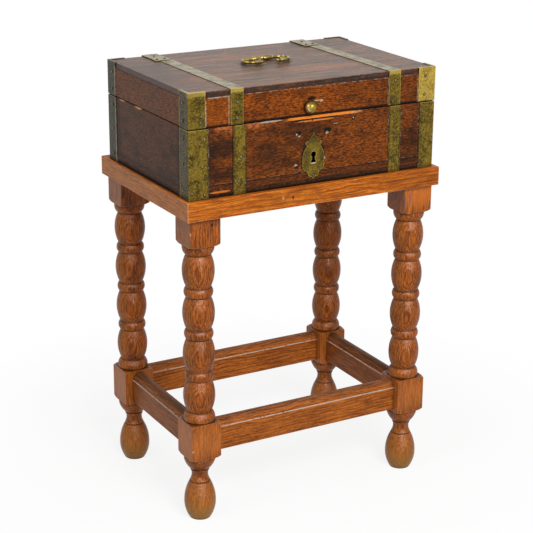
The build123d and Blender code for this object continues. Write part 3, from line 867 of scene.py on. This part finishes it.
        # Painted shade on the left faces, and a painted highlight of the key lamp on the shoulders of the
        # beads.
        skins = (Skin(Side.LEFT, (172, 104, 44), (104, 56, 20), 0.6),
                 Skin(Side.LAMP_HIGHLIGHT, (224, 170, 138), (176, 100, 54), 0.34, (0.9, 0.99)))
        for row, (depth, sy) in enumerate((("front", -1), ("back", 1))):
            for column, (hand, sx) in enumerate(zip(HANDS, (-1, 1))):
                node = f"leg_{depth}_{hand}"
                pith = (sy * self.leg_y - 76 + 8 * row, -sx * self.leg_x + 34 + 6 * row)
                seed = 170 * (2 * row + column)
                worn = self.turning_marks(sx * self.leg_x, sy * self.leg_y) + marks.get(node, ())
                TURNED_OAK.dress_boards(Cut(node, Grain.ALONG_Z, pith, seed, worn, skins))

    def dress_stretchers(self) -> None:
        """Finish the four stretchers, each with the worn arris of its ledge."""
        crown = (Skin(Side.TOP, (158, 98, 60), (66, 35, 17), 0.8, (0.3, 0.8)),)
        # The side stretchers stand in the box's shade: their tops and left faces are painted darker as
        # painted shade.
        shaded_crown = (Skin(Side.TOP, (116, 76, 46), (50, 29, 15), 0.85, (0.3, 0.8)),
                      Skin(Side.LEFT, (142, 84, 44), (70, 36, 16), 0.6))
        for node, grain, pith, seed, (x, y), skins in (
            ("stretcher_front", Grain.ALONG_X, (-170, 60), 1500, (0, -138), crown),
            ("stretcher_back", Grain.ALONG_X, (180, 70), 1800, (0, 112), crown),
            ("stretcher_left", Grain.ALONG_Y, (150, 60), 2100, (-205, 0), shaded_crown),
            ("stretcher_right", Grain.ALONG_Y, (-240, 70), 2400, (179, 0), shaded_crown),
        ):
            reach = (170, 2.4, 0.65) if grain is Grain.ALONG_X else (2.4, 104, 0.65)
            arris = Mark((x, y, self.ledge), reach, WORN_LINE, 0.75, 0, 0.35, Patch.SQUARE, broken=0.42)
            STRETCHER_OAK.dress_boards(Cut(node, grain, pith, seed, (arris,), skins))

    def build(self) -> None:
        """Finish the whole stand."""
        self.dress_frame()
        self.dress_legs()
        self.dress_stretchers()


# ---------------------------------------------------------------- box and lid
@dataclass
class Case:
    """What the box and its lid share: four walls with brass mounts, and hinges at the back.

    Attributes:
        smith: Maker of the nails.
        half_width: Middle of the object to a side in millimetres.
        front: Front face of the walls.
        back: Back face of the walls.
        brass: Thickness of the mounts.
        leaf: Thickness of the hinge leaves.
        hinges: Middle of each hinge.
        inside: Lighter and darker colour of the raw wood inside.
        outside: Lighter and darker colour of the weathered wood outside.
    """

    smith: NailSmith
    half_width: float = 217
    front: float = -146.5
    back: float = 139.5
    brass: float = 1
    leaf: float = 2
    hinges: tuple[float, float] = (-144, 131.5)
    inside: tuple[Chip, Chip] = ((128, 92, 62), (92, 60, 38))
    outside: tuple[Chip, Chip] = ((88, 61, 45), (40, 31, 24))

    def raw(self, side: Side) -> Skin:
        """Raw wood on the inner side of a board."""
        return Skin(side, *self.inside, 0.85, plain=True)

    def wall(self, inner: Side, outer: Side, depth: float) -> tuple[Skin, Skin]:
        """Raw wood inside, and outside wood that is weathered to this depth."""
        return self.raw(inner), Skin(outer, *self.outside, depth)

    def on_front(self, x: float, z: float, wide: float, high: float, *look: object, thick: float = 3,
                 **more: object) -> Mark:
        """Mark on the front wall, its look as a Mark takes it."""
        return Mark((x, self.front, z), (wide, thick, high), *look, **more)

    def corner_highlight(self, z: float, half: float) -> Mark:
        """Painted highlight down the scalloped border of the left back corner mount."""
        middle = (-self.half_width - self.brass, 112.2, z)
        return Mark(middle, (3, 1.3, half), (142, 134, 112), 0.7, 0, 0.8, Patch.SQUARE, broken=0.42)

    def nail_corners(self, body: str, sides: Heights, back: Heights, across: tuple[float, float]) -> None:
        """Drive the nails of the corner mounts into the two sides and the back.

        Args:
            body: Body that the nails ride on.
            sides: Heights of the nails on a side.
            back: Heights of the nails on the back.
            across: Places of the nails across the back.
        """
        inset = 17
        face = self.half_width + self.brass
        spots = [(y, z) for y in (self.front + inset, self.back - inset) for z in sides]
        self.smith.drive(f"nails_{body}_left", body, Side.LEFT, -face, spots)
        self.smith.drive(f"nails_{body}_right", body, Side.RIGHT, face, spots)
        spots = [(x, z) for x in across for z in back]
        self.smith.drive(f"nails_{body}_back", body, Side.BACK, self.back + self.brass, spots)

    def build(self) -> None:
        """Finish the whole box or lid."""
        self.dress_boards()
        self.dress_metal()
        self.nail()


@dataclass
class Chest(Case):
    """Oak box with its brass mounts, lower hinge leaves and lock.

    Attributes:
        seam: Top of the boards.
        foot: Underside of the boards.
        plate: Thickness of the escutcheon.
        mount: Middle height of the corners and straps, and half their height.
    """

    seam: float = 640
    foot: float = 534.2
    plate: float = 1.2
    mount: tuple[float, float] = (587, 53)

    def front_marks(self) -> tuple[Mark, ...]:
        """Shade, split under the seam, chips and old nail holes of the front board.

        Returns:
            The marks.
        """
        on, top = self.on_front, self.seam
        return (
            # Painted shade in patches and in a band along the foot, with a dark line and a line of pale dirt
            # above it.
            on(-193, 590, 22, 60, SHADE, 0.55, ragged=0.9, soft=0.4, thick=4),
            on(-160, 606, 30, 14, SHADE, 0.55, ragged=1.1, soft=0.4, thick=4),
            on(-152, 566, 26, 12, SHADE, 0.45, ragged=1.1, soft=0.4, thick=4),
            on(-84, 584, 34, 16, SHADE, 0.6, ragged=0.8, soft=0.6, thick=4),
            on(-20, 622, 48, 14, SHADE, 0.6, ragged=0.8, soft=0.6, thick=4),
            on(186, 592, 11, 50, SHADE, 0.4, ragged=0.9, soft=0.5, thick=4),
            on(0, 546, 216, 7, SHADE, 0.45, 0, 0.7, Patch.SQUARE, 0.5, thick=4),
            on(0, 552.4, 216, 0.9, SHADOW_AND_CRACK_BLACK, 0.75, 0, 0.6, Patch.SQUARE, broken=0.4, thick=4),
            on(0, 553.9, 216, 0.6, PALE_DIRT, 0.3, 0, 0.5, Patch.SQUARE, broken=0.52, thick=4),
            # Dirt and painted shadow round the escutcheon, and painted shade inside the keyhole.
            on(-4.4, 575.5, 21.2, 29.5, SHADOW_AND_CRACK_BLACK, 0.75, ragged=0.12, soft=0.06),
            Mark((-4.4, self.front + 7, 576), (9, 6.6, 13), (5, 4, 3), 1, 0, 0, Patch.SQUARE),
            # Split and chips under the seam.
            on(9, top - 0.9, 58, 2.9, SPLIT_WOOD, 0.95, 0.3, 0.35, Patch.SQUARE, thick=4),
            on(0, top - 7, 33, 1.6, SPLIT_WOOD, 0.75, 0.2, 1, broken=0.44),
            on(-1, top - 4.8, 44, 1.1, DARK_HOLE, 0.95, 0.6, 0.7, Patch.SQUARE, broken=0.4),
            on(72, top - 1.6, 10, 1.8, PALE_WOOD, 0.8, 0.3, 1.3, broken=0.45),
            on(-80, top - 0.8, 20, 1.2, PALE_DIRT, 0.9, 0.3, 0.6),
            on(-106, top - 3.6, 16, 4.4, FADED_WOOD, 0.75, 0.1, 1.5, broken=0.47, soft=0.3),
            on(-163, top - 2.2, 10, 2.4, FADED_WOOD, 0.9, 0.1, 1.3, broken=0.42),
            on(-149.5, top - 4, 7, 5, FADED_WOOD, 0.75, 0.1, 1.5, broken=0.47, soft=0.3),
            # Old nail holes and flecks round the escutcheon.
            on(-30.5, 615.6, 4.4, 2.8, DARK_HOLE, 0.98, 0.9, 1.2),
            on(-33.8, 613.8, 1.8, 1.6, PALE_DIRT, 0.9, 0.1, 1),
            on(-29.4, 610.4, 2.2, 1.2, PALE_DIRT, 0.85, 0.1, 1.2),
            on(-35.1, 565.7, 2.8, 1.8, PALE_DIRT, 0.85, 0.2, 1.2),
            on(-33, 562.5, 3.2, 2, DARK_HOLE, 0.9, 0.6, 1.2),
            on(21, 615.5, 6.4, 3.8, DARK_HOLE, 0.98, 0.9, 1.3),
            on(19.6, 611.2, 2.4, 2.2, PALE_DIRT, 0.75, 0.1, 1.4),
            on(67, 629.6, 3.4, 2.8, DARK_HOLE, 0.95, 0.6, 1),
            on(67, 629.6, 1.4, 1.2, PALE_WOOD, 0.9, ragged=0.4),
            on(46.4, 592.2, 1.2, 1, PALE_WOOD, 0.85, 0.1, 0.5),
            on(15.4, 572, 2.2, 1.7, PALE_DIRT, 0.9, 0.1, 0.6),
            on(35.3, 624, 6, 1.1, PALE_DIRT, 0.7, 0.1, 1.2, broken=0.48),
            *self.edge_lines(self.front, 1),
        )

    def edge_lines(self, y: float, out: int) -> list[Mark]:
        """Dirt in pale lines beside the upright edges of the front mounts, and painted shadow in dark lines
        along them.

        Args:
            y: Face that carries the lines.
            out: 1 for lines beside the mounts, -1 for lines on them.

        Returns:
            The marks.
        """
        z, half = self.mount
        line = {"ragged": 0.8, "patch": Patch.SQUARE, "soft": 0.3}
        left_strap = (-143, -122)
        lines = []
        for x, way in ((-185, 1), (-143, -1), (-122, 1), (133.5, -1), (154.5, 1), (190, -1)):
            # A dark line of painted shadow at each edge, with pale dirt beside it on the wood.
            dark = (x + way * out * 0.8, y, z)
            lines.append(Mark(dark, (0.9, 3, half), SHADOW_AND_CRACK_BLACK, 0.75, broken=0.42, **line))
            if out > 0 and x not in left_strap:
                pale = (x + way * 1.1, y, z)
                lines.append(Mark(pale, (0.7, 3, half), PALE_DIRT, 0.5, broken=0.56, **line))
        return lines

    def dress_boards(self) -> None:
        """Finish the five boards."""
        end, top, foot = -self.half_width, self.seam, self.foot
        chips = (
            Mark((end, 27, top - 0.9), (4, 12, 1.8), PALE_WOOD, 0.95, 0.4, 0.8),
            Mark((end, 88, top - 1.2), (4, 11, 1.2), PALE_WOOD, 0.8, 0.3, 0.8),
            # Painted shade beside the corner mounts and along the foot, painted shadow lines at the mounts'
            # edges, and a dark line low down.
            Mark((end, -122, 590), (4, 16, 60), SHADE, 0.7, ragged=0.6, soft=0.5),
            Mark((end, 118, 590), (4, 22, 60), SHADE, 0.7, ragged=0.6, soft=0.5),
            Mark((end, 0, 547), (4, 150, 7), SHADE, 0.4, 0, 0.6, Patch.SQUARE, 0.6),
            Mark((end, -115.8, 590), (4, 2.6, 56), SHADOW_AND_CRACK_BLACK, 0.7, patch=Patch.SQUARE, soft=0.5),
            Mark((end, 109.8, 590), (4, 1.4, 56), SHADOW_AND_CRACK_BLACK, 0.85, patch=Patch.SQUARE, soft=0.4),
            Mark((end, 0, 549), (4, 150, 0.8), SHADOW_AND_CRACK_BLACK, 0.7, 0, 0.6, Patch.SQUARE, broken=0.42),
        )
        # A split low on the front, and painted shadow along the foot where the box stands on the frame.
        line = {"colour": SHADOW_AND_CRACK_BLACK, "ragged": 0.3, "patch": Patch.SQUARE, "soft": 0.4}
        under = (
            self.on_front(-166, foot + 7, 17, 1.6, SPLIT_WOOD, 0.7, 0.1, 0.8),
            self.on_front(0, foot, 216, 2, **line),
            Mark((end, 0, foot), (3, 150, 2.6), **line),
        )
        # Front and left edges of the bottom board painted dark as painted shade under the box.
        edges = (Skin(Side.FRONT, (70, 42, 26), (30, 19, 13), 0.85),
                 Skin(Side.LEFT, (60, 48, 40), (34, 27, 23), 0.85))
        wall = self.wall
        BOX_OAK.dress_boards(
            Cut("box_front", Grain.ALONG_X, (-190, 500), 40, self.front_marks(), (self.raw(Side.BACK),)),
            Cut("box_back", Grain.ALONG_X, (200, 510), 460, (), wall(Side.FRONT, Side.BACK, 0.4)),
            Cut("box_left", Grain.ALONG_Y, (260, 500), 890, chips, wall(Side.RIGHT, Side.LEFT, 0.75)),
            Cut("box_right", Grain.ALONG_Y, (-260, 505), 1310, (), wall(Side.LEFT, Side.RIGHT, 0.4)),
            Cut("box_bottom", Grain.ALONG_X, (-30, 470), 1750, under, (self.raw(Side.TOP), *edges)),
        )

    def dress_metal(self) -> None:
        """Finish the mounts, hinges and lock."""
        brass = MOUNT_BRASS.material("box_brass", self.edge_lines(self.front - self.brass, -1))
        dull = DULL_BRASS.material("dull_box_brass", (self.corner_highlight(*self.mount),))
        for hand in HANDS:
            dress(f"base_corner_front_{hand}", brass)
            dress(f"base_corner_back_{hand}", dull)
            dress(f"base_strap_{hand}", brass)
            dress(f"hinge_base_{hand}", brass)
        face = self.front - self.plate
        tarnish = [Mark((x, face, z), (wide, 3, high), (56, 46, 20), 0.55, ragged=1, soft=0.6)
                   for x, z, wide, high in ((-4.4, 605, 14, 11), (-17, 572, 6, 20), (9, 580, 5, 12))]
        glint = Mark((-4.4, face, 566.2), (4.6, 3, 0.9), (208, 198, 172), 0.9, ragged=0.4)
        dress("escutcheon", MOUNT_BRASS.material("plate_brass", (*tarnish, glint)))
        iron = LOCK_IRON.material()
        for node in ("lock_case", "lock_bolt", "hinge_pin_left", "hinge_pin_right"):
            dress(node, iron)

    def nail(self) -> None:
        """Drive the nails of the box."""
        straps = [(142.5, 630.7), (144.1, 590.5), (145.5, 554.5), (-130, 591.1), (-133.3, 553.6)]
        corners = [(195.6, 625.6), (198.5, 584.7), (199, 543), (-191.4, 624.4), (-195.2, 584.1),
                   (-191.7, 540.4), (-212.6, 544.6)]
        drive = self.smith.drive
        drive("nails_box_front", "box", Side.FRONT, self.front - self.brass, straps + corners)
        drive("nail_escutcheon", "box", Side.FRONT, self.front - self.plate, [(-4.6, 546.7)], 0.8)
        self.nail_corners("box", (626, 587, 546), (625, 586, 544), (-195, 197))
        leaves = [(x + dx, z) for x in self.hinges for dx, z in ((-7.5, 622), (7.5, 622), (0, 594))]
        drive("nails_hinge_box", "box", Side.BACK, self.back + self.leaf, leaves, 0.9)


@dataclass
class Lid(Case):
    """Oak lid with its brass mounts, upper hinge leaves, staple and knob.

    Attributes:
        seam: Underside of the walls.
        board: Underside of the top board.
        top: Upper face of the top board.
    """

    inside: tuple[Chip, Chip] = ((132, 96, 66), (96, 64, 42))
    outside: tuple[Chip, Chip] = ((114, 78, 57), (56, 42, 34))
    seam: float = 641.2
    board: float = 686
    top: float = 695

    def front_marks(self) -> tuple[Mark, ...]:
        """Dirt in pale lines beside the mounts, the knocks round the knob, painted shade in the seam, painted
        shadows beside the straps, and a painted highlight under the top board.

        Returns:
            The marks.
        """
        on = self.on_front
        middle = (self.seam + self.board) / 2
        half = (self.board - self.seam) / 2
        line = {"ragged": 0.9, "patch": Patch.SQUARE, "soft": 0.3}
        beside = [on(x, middle, wide, half, PALE_DIRT, 0.8, broken=0.46, **line)
                  for x, wide in ((-188.4, 1), (-150.1, 0.7), (130, 0.5), (185.4, 0.7))]
        # Painted shadows beside the straps.
        dark = [on(x, middle, 0.8, half, SHADOW_AND_CRACK_BLACK, 0.75, 0, 0.6, Patch.SQUARE, broken=0.4)
                for x in (-125.9, 152.6)]
        return (
            # Painted shade in the seam; the two pale lines under the top board are painted highlight on the
            # wall's top arris.
            on(0, self.seam + 0.9, 216, 2.4, DARK_HOLE, 0.95, 0.2, 0.3, Patch.SQUARE),
            on(-169, self.board - 0.5, 19, 1.1, PALE_DIRT, 0.8, broken=0.46, **line),
            on(28, self.board - 0.4, 154, 0.9, PALE_DIRT, 0.5, broken=0.5, **line),
            on(-8.5, 667.5, 7.5, 2.6, DARK_HOLE, 0.95, 0.6, 0.9),
            on(1, 663.2, 6, 1, PALE_DIRT, 0.9, 0.1, 0.6),
            on(8.5, 662.6, 2.6, 1.8, PALE_DIRT, 0.95, 0.2, 0.9),
            *beside,
            on(-168, middle, 26, 24, (176, 92, 26), 0.1, soft=0.6),
            *dark,
            on(150, middle, 90, 30, SHADE, 0.3, soft=0.8),
        )

    def top_marks(self) -> tuple[Mark, ...]:
        """Cracks, stains and shades along the top board, and the chips of its front arris.

        Returns:
            The marks.
        """
        top = self.top
        cracks = [
            Mark((x, y, top), (length, width, 3), DARK_HOLE, depth, 0.3, 0.8, Patch.SQUARE, broken=broken)
            for x, y, length, width, depth, broken in (
                (40, -36, 150, 1.3, 0.75, 0.42), (-40, -96, 120, 1, 0.6, 0.47), (60, 46, 130, 1, 0.6, 0.48))
        ]
        stains = [Mark((x, y, top), (length, width, 3), FADED_WOOD, 0.3, ragged=1, soft=0.6)
                  for x, y, length, width in ((-40, 60, 60, 16), (60, -70, 70, 18), (-150, -60, 40, 20))]
        # Painted shadows under the handle.
        shades = [Mark((x, y, top), (length, width, 3), SHADE, 0.6, ragged=0.5, soft=0.7)
                  for x, y, length, width in ((-25, -11, 20, 6), (17, -11, 18, 6), (-44, 2, 8, 14))]
        return (
            *cracks,
            *stains,
            Mark((-206, 0, top), (46, 130, 3), SHADE, 0.5, ragged=0.6, soft=0.6),
            *shades,
            self.on_front(0, top - 4, 216, 4, SHADOW_AND_CRACK_BLACK, 0.7, 0, 1.4, Patch.SQUARE, broken=0.5, thick=5),
            self.on_front(0, top, 216, 0.8, PALE_WOOD, 0.3, 0, 1.2, Patch.SQUARE, broken=0.53, thick=4),
        )

    def dress_boards(self) -> None:
        """Finish the four walls and the top board."""
        wall = self.wall
        LID_OAK.dress_boards(
            Cut("lid_front", Grain.ALONG_X, (-170, 600), 70, self.front_marks(), (self.raw(Side.BACK),)),
            Cut("lid_back", Grain.ALONG_X, (180, 610), 530, (), wall(Side.FRONT, Side.BACK, 0.4)),
            Cut("lid_left", Grain.ALONG_Y, (240, 620), 970, (), wall(Side.RIGHT, Side.LEFT, 0.7)),
            Cut("lid_right", Grain.ALONG_Y, (-240, 630), 1390, (), wall(Side.LEFT, Side.RIGHT, 0.4)),
        )
        skins = (self.raw(Side.UNDER), Skin(Side.TOP, (148, 109, 82), (46, 34, 27), 0.95),
                 Skin(Side.FRONT, (86, 50, 30), (28, 21, 18), 0.9),
                 Skin(Side.LEFT, (62, 54, 50), (40, 36, 34), 0.8))
        TOP_OAK.dress_boards(Cut("lid_top", Grain.ALONG_X, (40, 590), 1830, self.top_marks(), skins))

    def dress_metal(self) -> None:
        """Finish the mounts, straps, hinges, staple and knob."""
        # Painted shade along the seam, and a painted highlight on the bend of the straps over the top.
        seam = Mark((0, 0, self.seam + 0.4), (230, 160, 1.1), SHADOW_AND_CRACK_BLACK, 0.85, 0, 0.3, Patch.SQUARE)
        bend_highlight = Mark((0, self.front - self.brass, self.top - 1.5), (230, 4, 3.4), (214, 184, 92), 0.5,
                    0, 0.5, Patch.SQUARE, 0.5)
        brass = LID_BRASS.material(marks=(seam, bend_highlight))
        dull = DULL_BRASS.material("dull_lid_brass", (seam, self.corner_highlight(666, 24)))
        dress("lid_corner_front_left", brass)
        dress("lid_corner_front_right", BARE_BRASS.material(marks=(seam,)))
        for hand in HANDS:
            dress(f"lid_corner_back_{hand}", dull)
            dress(f"lid_strap_{hand}", brass)
            dress(f"hinge_lid_{hand}", brass)
        dress("lid_staple", LOCK_IRON.material())
        polished = KNOB_BRASS.material()
        dress("knob", polished)
        dress("knob_rove", polished)

    def nail(self) -> None:
        """Drive the nails of the lid."""
        straps = [(142, 680.3), (141.7, 651.5), (-136.4, 675.3), (-136.6, 651.3)]
        corners = [(-197.7, 686.5), (-196.1, 659), (-197.3, 649.8), (199, 682), (198, 653)]
        drive = self.smith.drive
        drive("nails_lid_front", "lid", Side.FRONT, self.front - self.brass, straps + corners)
        self.nail_corners("lid", (652, 679), (653, 680), (-195, 195))
        leaves = [(x + dx, y) for x in self.hinges for dx, y in ((-7, 96), (7, 98), (0, 122))]
        drive("nails_hinge_lid", "lid", Side.TOP, self.top + self.leaf, leaves, 0.8)


@dataclass
class BailHandle:
    """Brass bail that swings in its two eye posts.

    Attributes:
        finish: Finish of all its pieces.
    """

    finish: BrassFinish = WORN_BRASS

    def build(self) -> None:
        """Finish the bail, its eye posts and their roves."""
        polished = self.finish.material()
        dress("bail", polished)
        for hand in HANDS:
            dress(f"handle_post_{hand}", polished)
            dress(f"handle_rove_{hand}", polished)


# ---------------------------------------------------------------- studio
@dataclass(frozen=True)
class Lamp:
    """Soft area lamp aimed at the middle of the object.

    Attributes:
        name: Name of the lamp.
        azimuth: Direction that it stands in, 0 in front and 90 on the right, in degrees.
        elevation: Height above the horizon in degrees.
        size: Side of the lamp in metres.
        level: Light on a surface that faces it, 1 for as bright as written.
    """

    name: str
    azimuth: float
    elevation: float
    size: float
    level: float


@dataclass
class Studio:
    """Pale floor, soft light and the camera.

    Attributes:
        eye: Camera's place in metres.
        azimuth: Direction that the camera stands in, in degrees.
        elevation: Height of the camera's line of sight in degrees.
        roll: Turn of the camera about its line of sight in degrees.
        lens: Focal length on a 36 mm sensor.
        lamps: The lamps.
        ambient: Light from all round.
        reach: Distance of the lamps in metres.
        middle: Height that the lamps are aimed at in metres.
        floor: Side of the floor in metres.
        fade: Where the floor starts to fade and where it is white, in millimetres from the middle.
    """

    eye: Triple = (-1.19376, -2.11494, 1.18191)
    azimuth: float = -29.391
    elevation: float = 18.842
    roll: float = 0.394
    lens: float = 104.54
    lamps: tuple[Lamp, ...] = (Lamp("key", -6, 36, 1.3, 0.76), Lamp("fill", -75, 35, 1.6, 0.2))
    ambient: float = 0.34
    reach: float = 3
    middle: float = 0.35
    floor: float = 24
    fade: tuple[float, float] = (260, 800)

    @staticmethod
    def outward(azimuth: float, elevation: float) -> Vector:
        """Direction from the object towards an azimuth and an elevation in degrees."""
        a, e = math.radians(azimuth), math.radians(elevation)
        return Vector((math.sin(a) * math.cos(e), -math.cos(a) * math.cos(e), math.sin(e)))

    def hang_lamps(self) -> None:
        """Hang the lamps round the object, each as strong as its level takes at their distance."""
        full = math.pi ** 2 * self.reach ** 2
        for lamp in self.lamps:
            light = bpy.data.lights.new(lamp.name, "AREA")
            light.size = lamp.size
            light.energy = lamp.level * full
            stand = bpy.data.objects.new(lamp.name, light)
            bpy.context.collection.objects.link(stand)
            out = self.outward(lamp.azimuth, lamp.elevation)
            stand.location = Vector((0, 0, self.middle)) + out * self.reach
            stand.rotation_mode = "QUATERNION"
            stand.rotation_quaternion = (-out).to_track_quat("-Z", "Y")

    def paint_world(self) -> None:
        """Even light all round, white to the camera and in reflections."""
        world = bpy.data.worlds.new("studio")
        bench = NodeBench(world)
        rays = bench.add("LightPath", {}).outputs
        mirrored = bench.math("MAXIMUM", rays["Is Glossy Ray"], rays["Is Transmission Ray"])
        seen = bench.math("MAXIMUM", rays["Is Camera Ray"], mirrored)
        level = bench.span(seen, self.ambient, 1)
        bench.close(bench.add("Background", {"Color": WHITE, "Strength": level}), "World")
        bpy.context.scene.world = world

    def lay_floor(self) -> None:
        """Lay the pale floor: its matt share keeps the shadow, and its glow fades it to white far out."""
        put_down_all()
        bpy.ops.mesh.primitive_plane_add(size=self.floor)
        floor = bpy.context.object
        floor.name = "floor"
        bench = NodeBench(bpy.data.materials.new("floor"))
        place = bench.place()
        far = bench.step(bench.measure("LENGTH", place), *self.fade)
        grey = bench.span(bench.noise(place, 400, 400, 2), 0.6, 0.63)
        rays = bench.add("LightPath", {}).outputs
        seen = bench.math("MAXIMUM", rays["Is Camera Ray"], rays["Is Glossy Ray"])
        matt = bench.add("BsdfDiffuse", {"Color": bench.blend(seen, grey, WHITE)}).outputs[0]
        glow = bench.add("Emission", {"Color": WHITE, "Strength": 1}).outputs[0]
        near = 0.84
        share = bench.times(seen, bench.times(far, 1 - near, near))
        material = bench.close(bench.add("MixShader", {0: share, 1: matt, 2: glow}))
        floor.data.materials.append(material)

    def set_camera(self) -> None:
        """Stand the camera at the viewing angle."""
        data = bpy.data.cameras.new("camera")
        data.lens = self.lens
        data.sensor_width = 36
        data.clip_start = 0.05
        data.clip_end = 60
        camera = bpy.data.objects.new("camera", data)
        bpy.context.collection.objects.link(camera)
        back = self.outward(self.azimuth, self.elevation)
        right = self.outward(self.azimuth + 90, 0)
        up = back.cross(right)
        roll = math.radians(self.roll)
        turned_right = right * math.cos(roll) + up * math.sin(roll)
        turned_up = up * math.cos(roll) - right * math.sin(roll)
        turn = Matrix((turned_right, turned_up, back)).transposed().to_4x4()
        camera.matrix_world = Matrix.Translation(self.eye) @ turn
        bpy.context.scene.camera = camera

    def build(self) -> None:
        """Set up the whole studio."""
        self.hang_lamps()
        self.paint_world()
        self.lay_floor()
        self.set_camera()
        bpy.context.scene.view_settings.view_transform = "Standard"


def main() -> None:
    """Build the studio and finish every piece, in order."""
    logging.basicConfig(level=logging.INFO, format="%(name)s: %(message)s")
    smith = NailSmith(NAIL_BRASS.material())
    for part in (Studio(), Stand(), Chest(smith), Lid(smith), BailHandle()):
        part.build()
    bpy.context.view_layer.update()


if __name__ == "__main__":
    main()
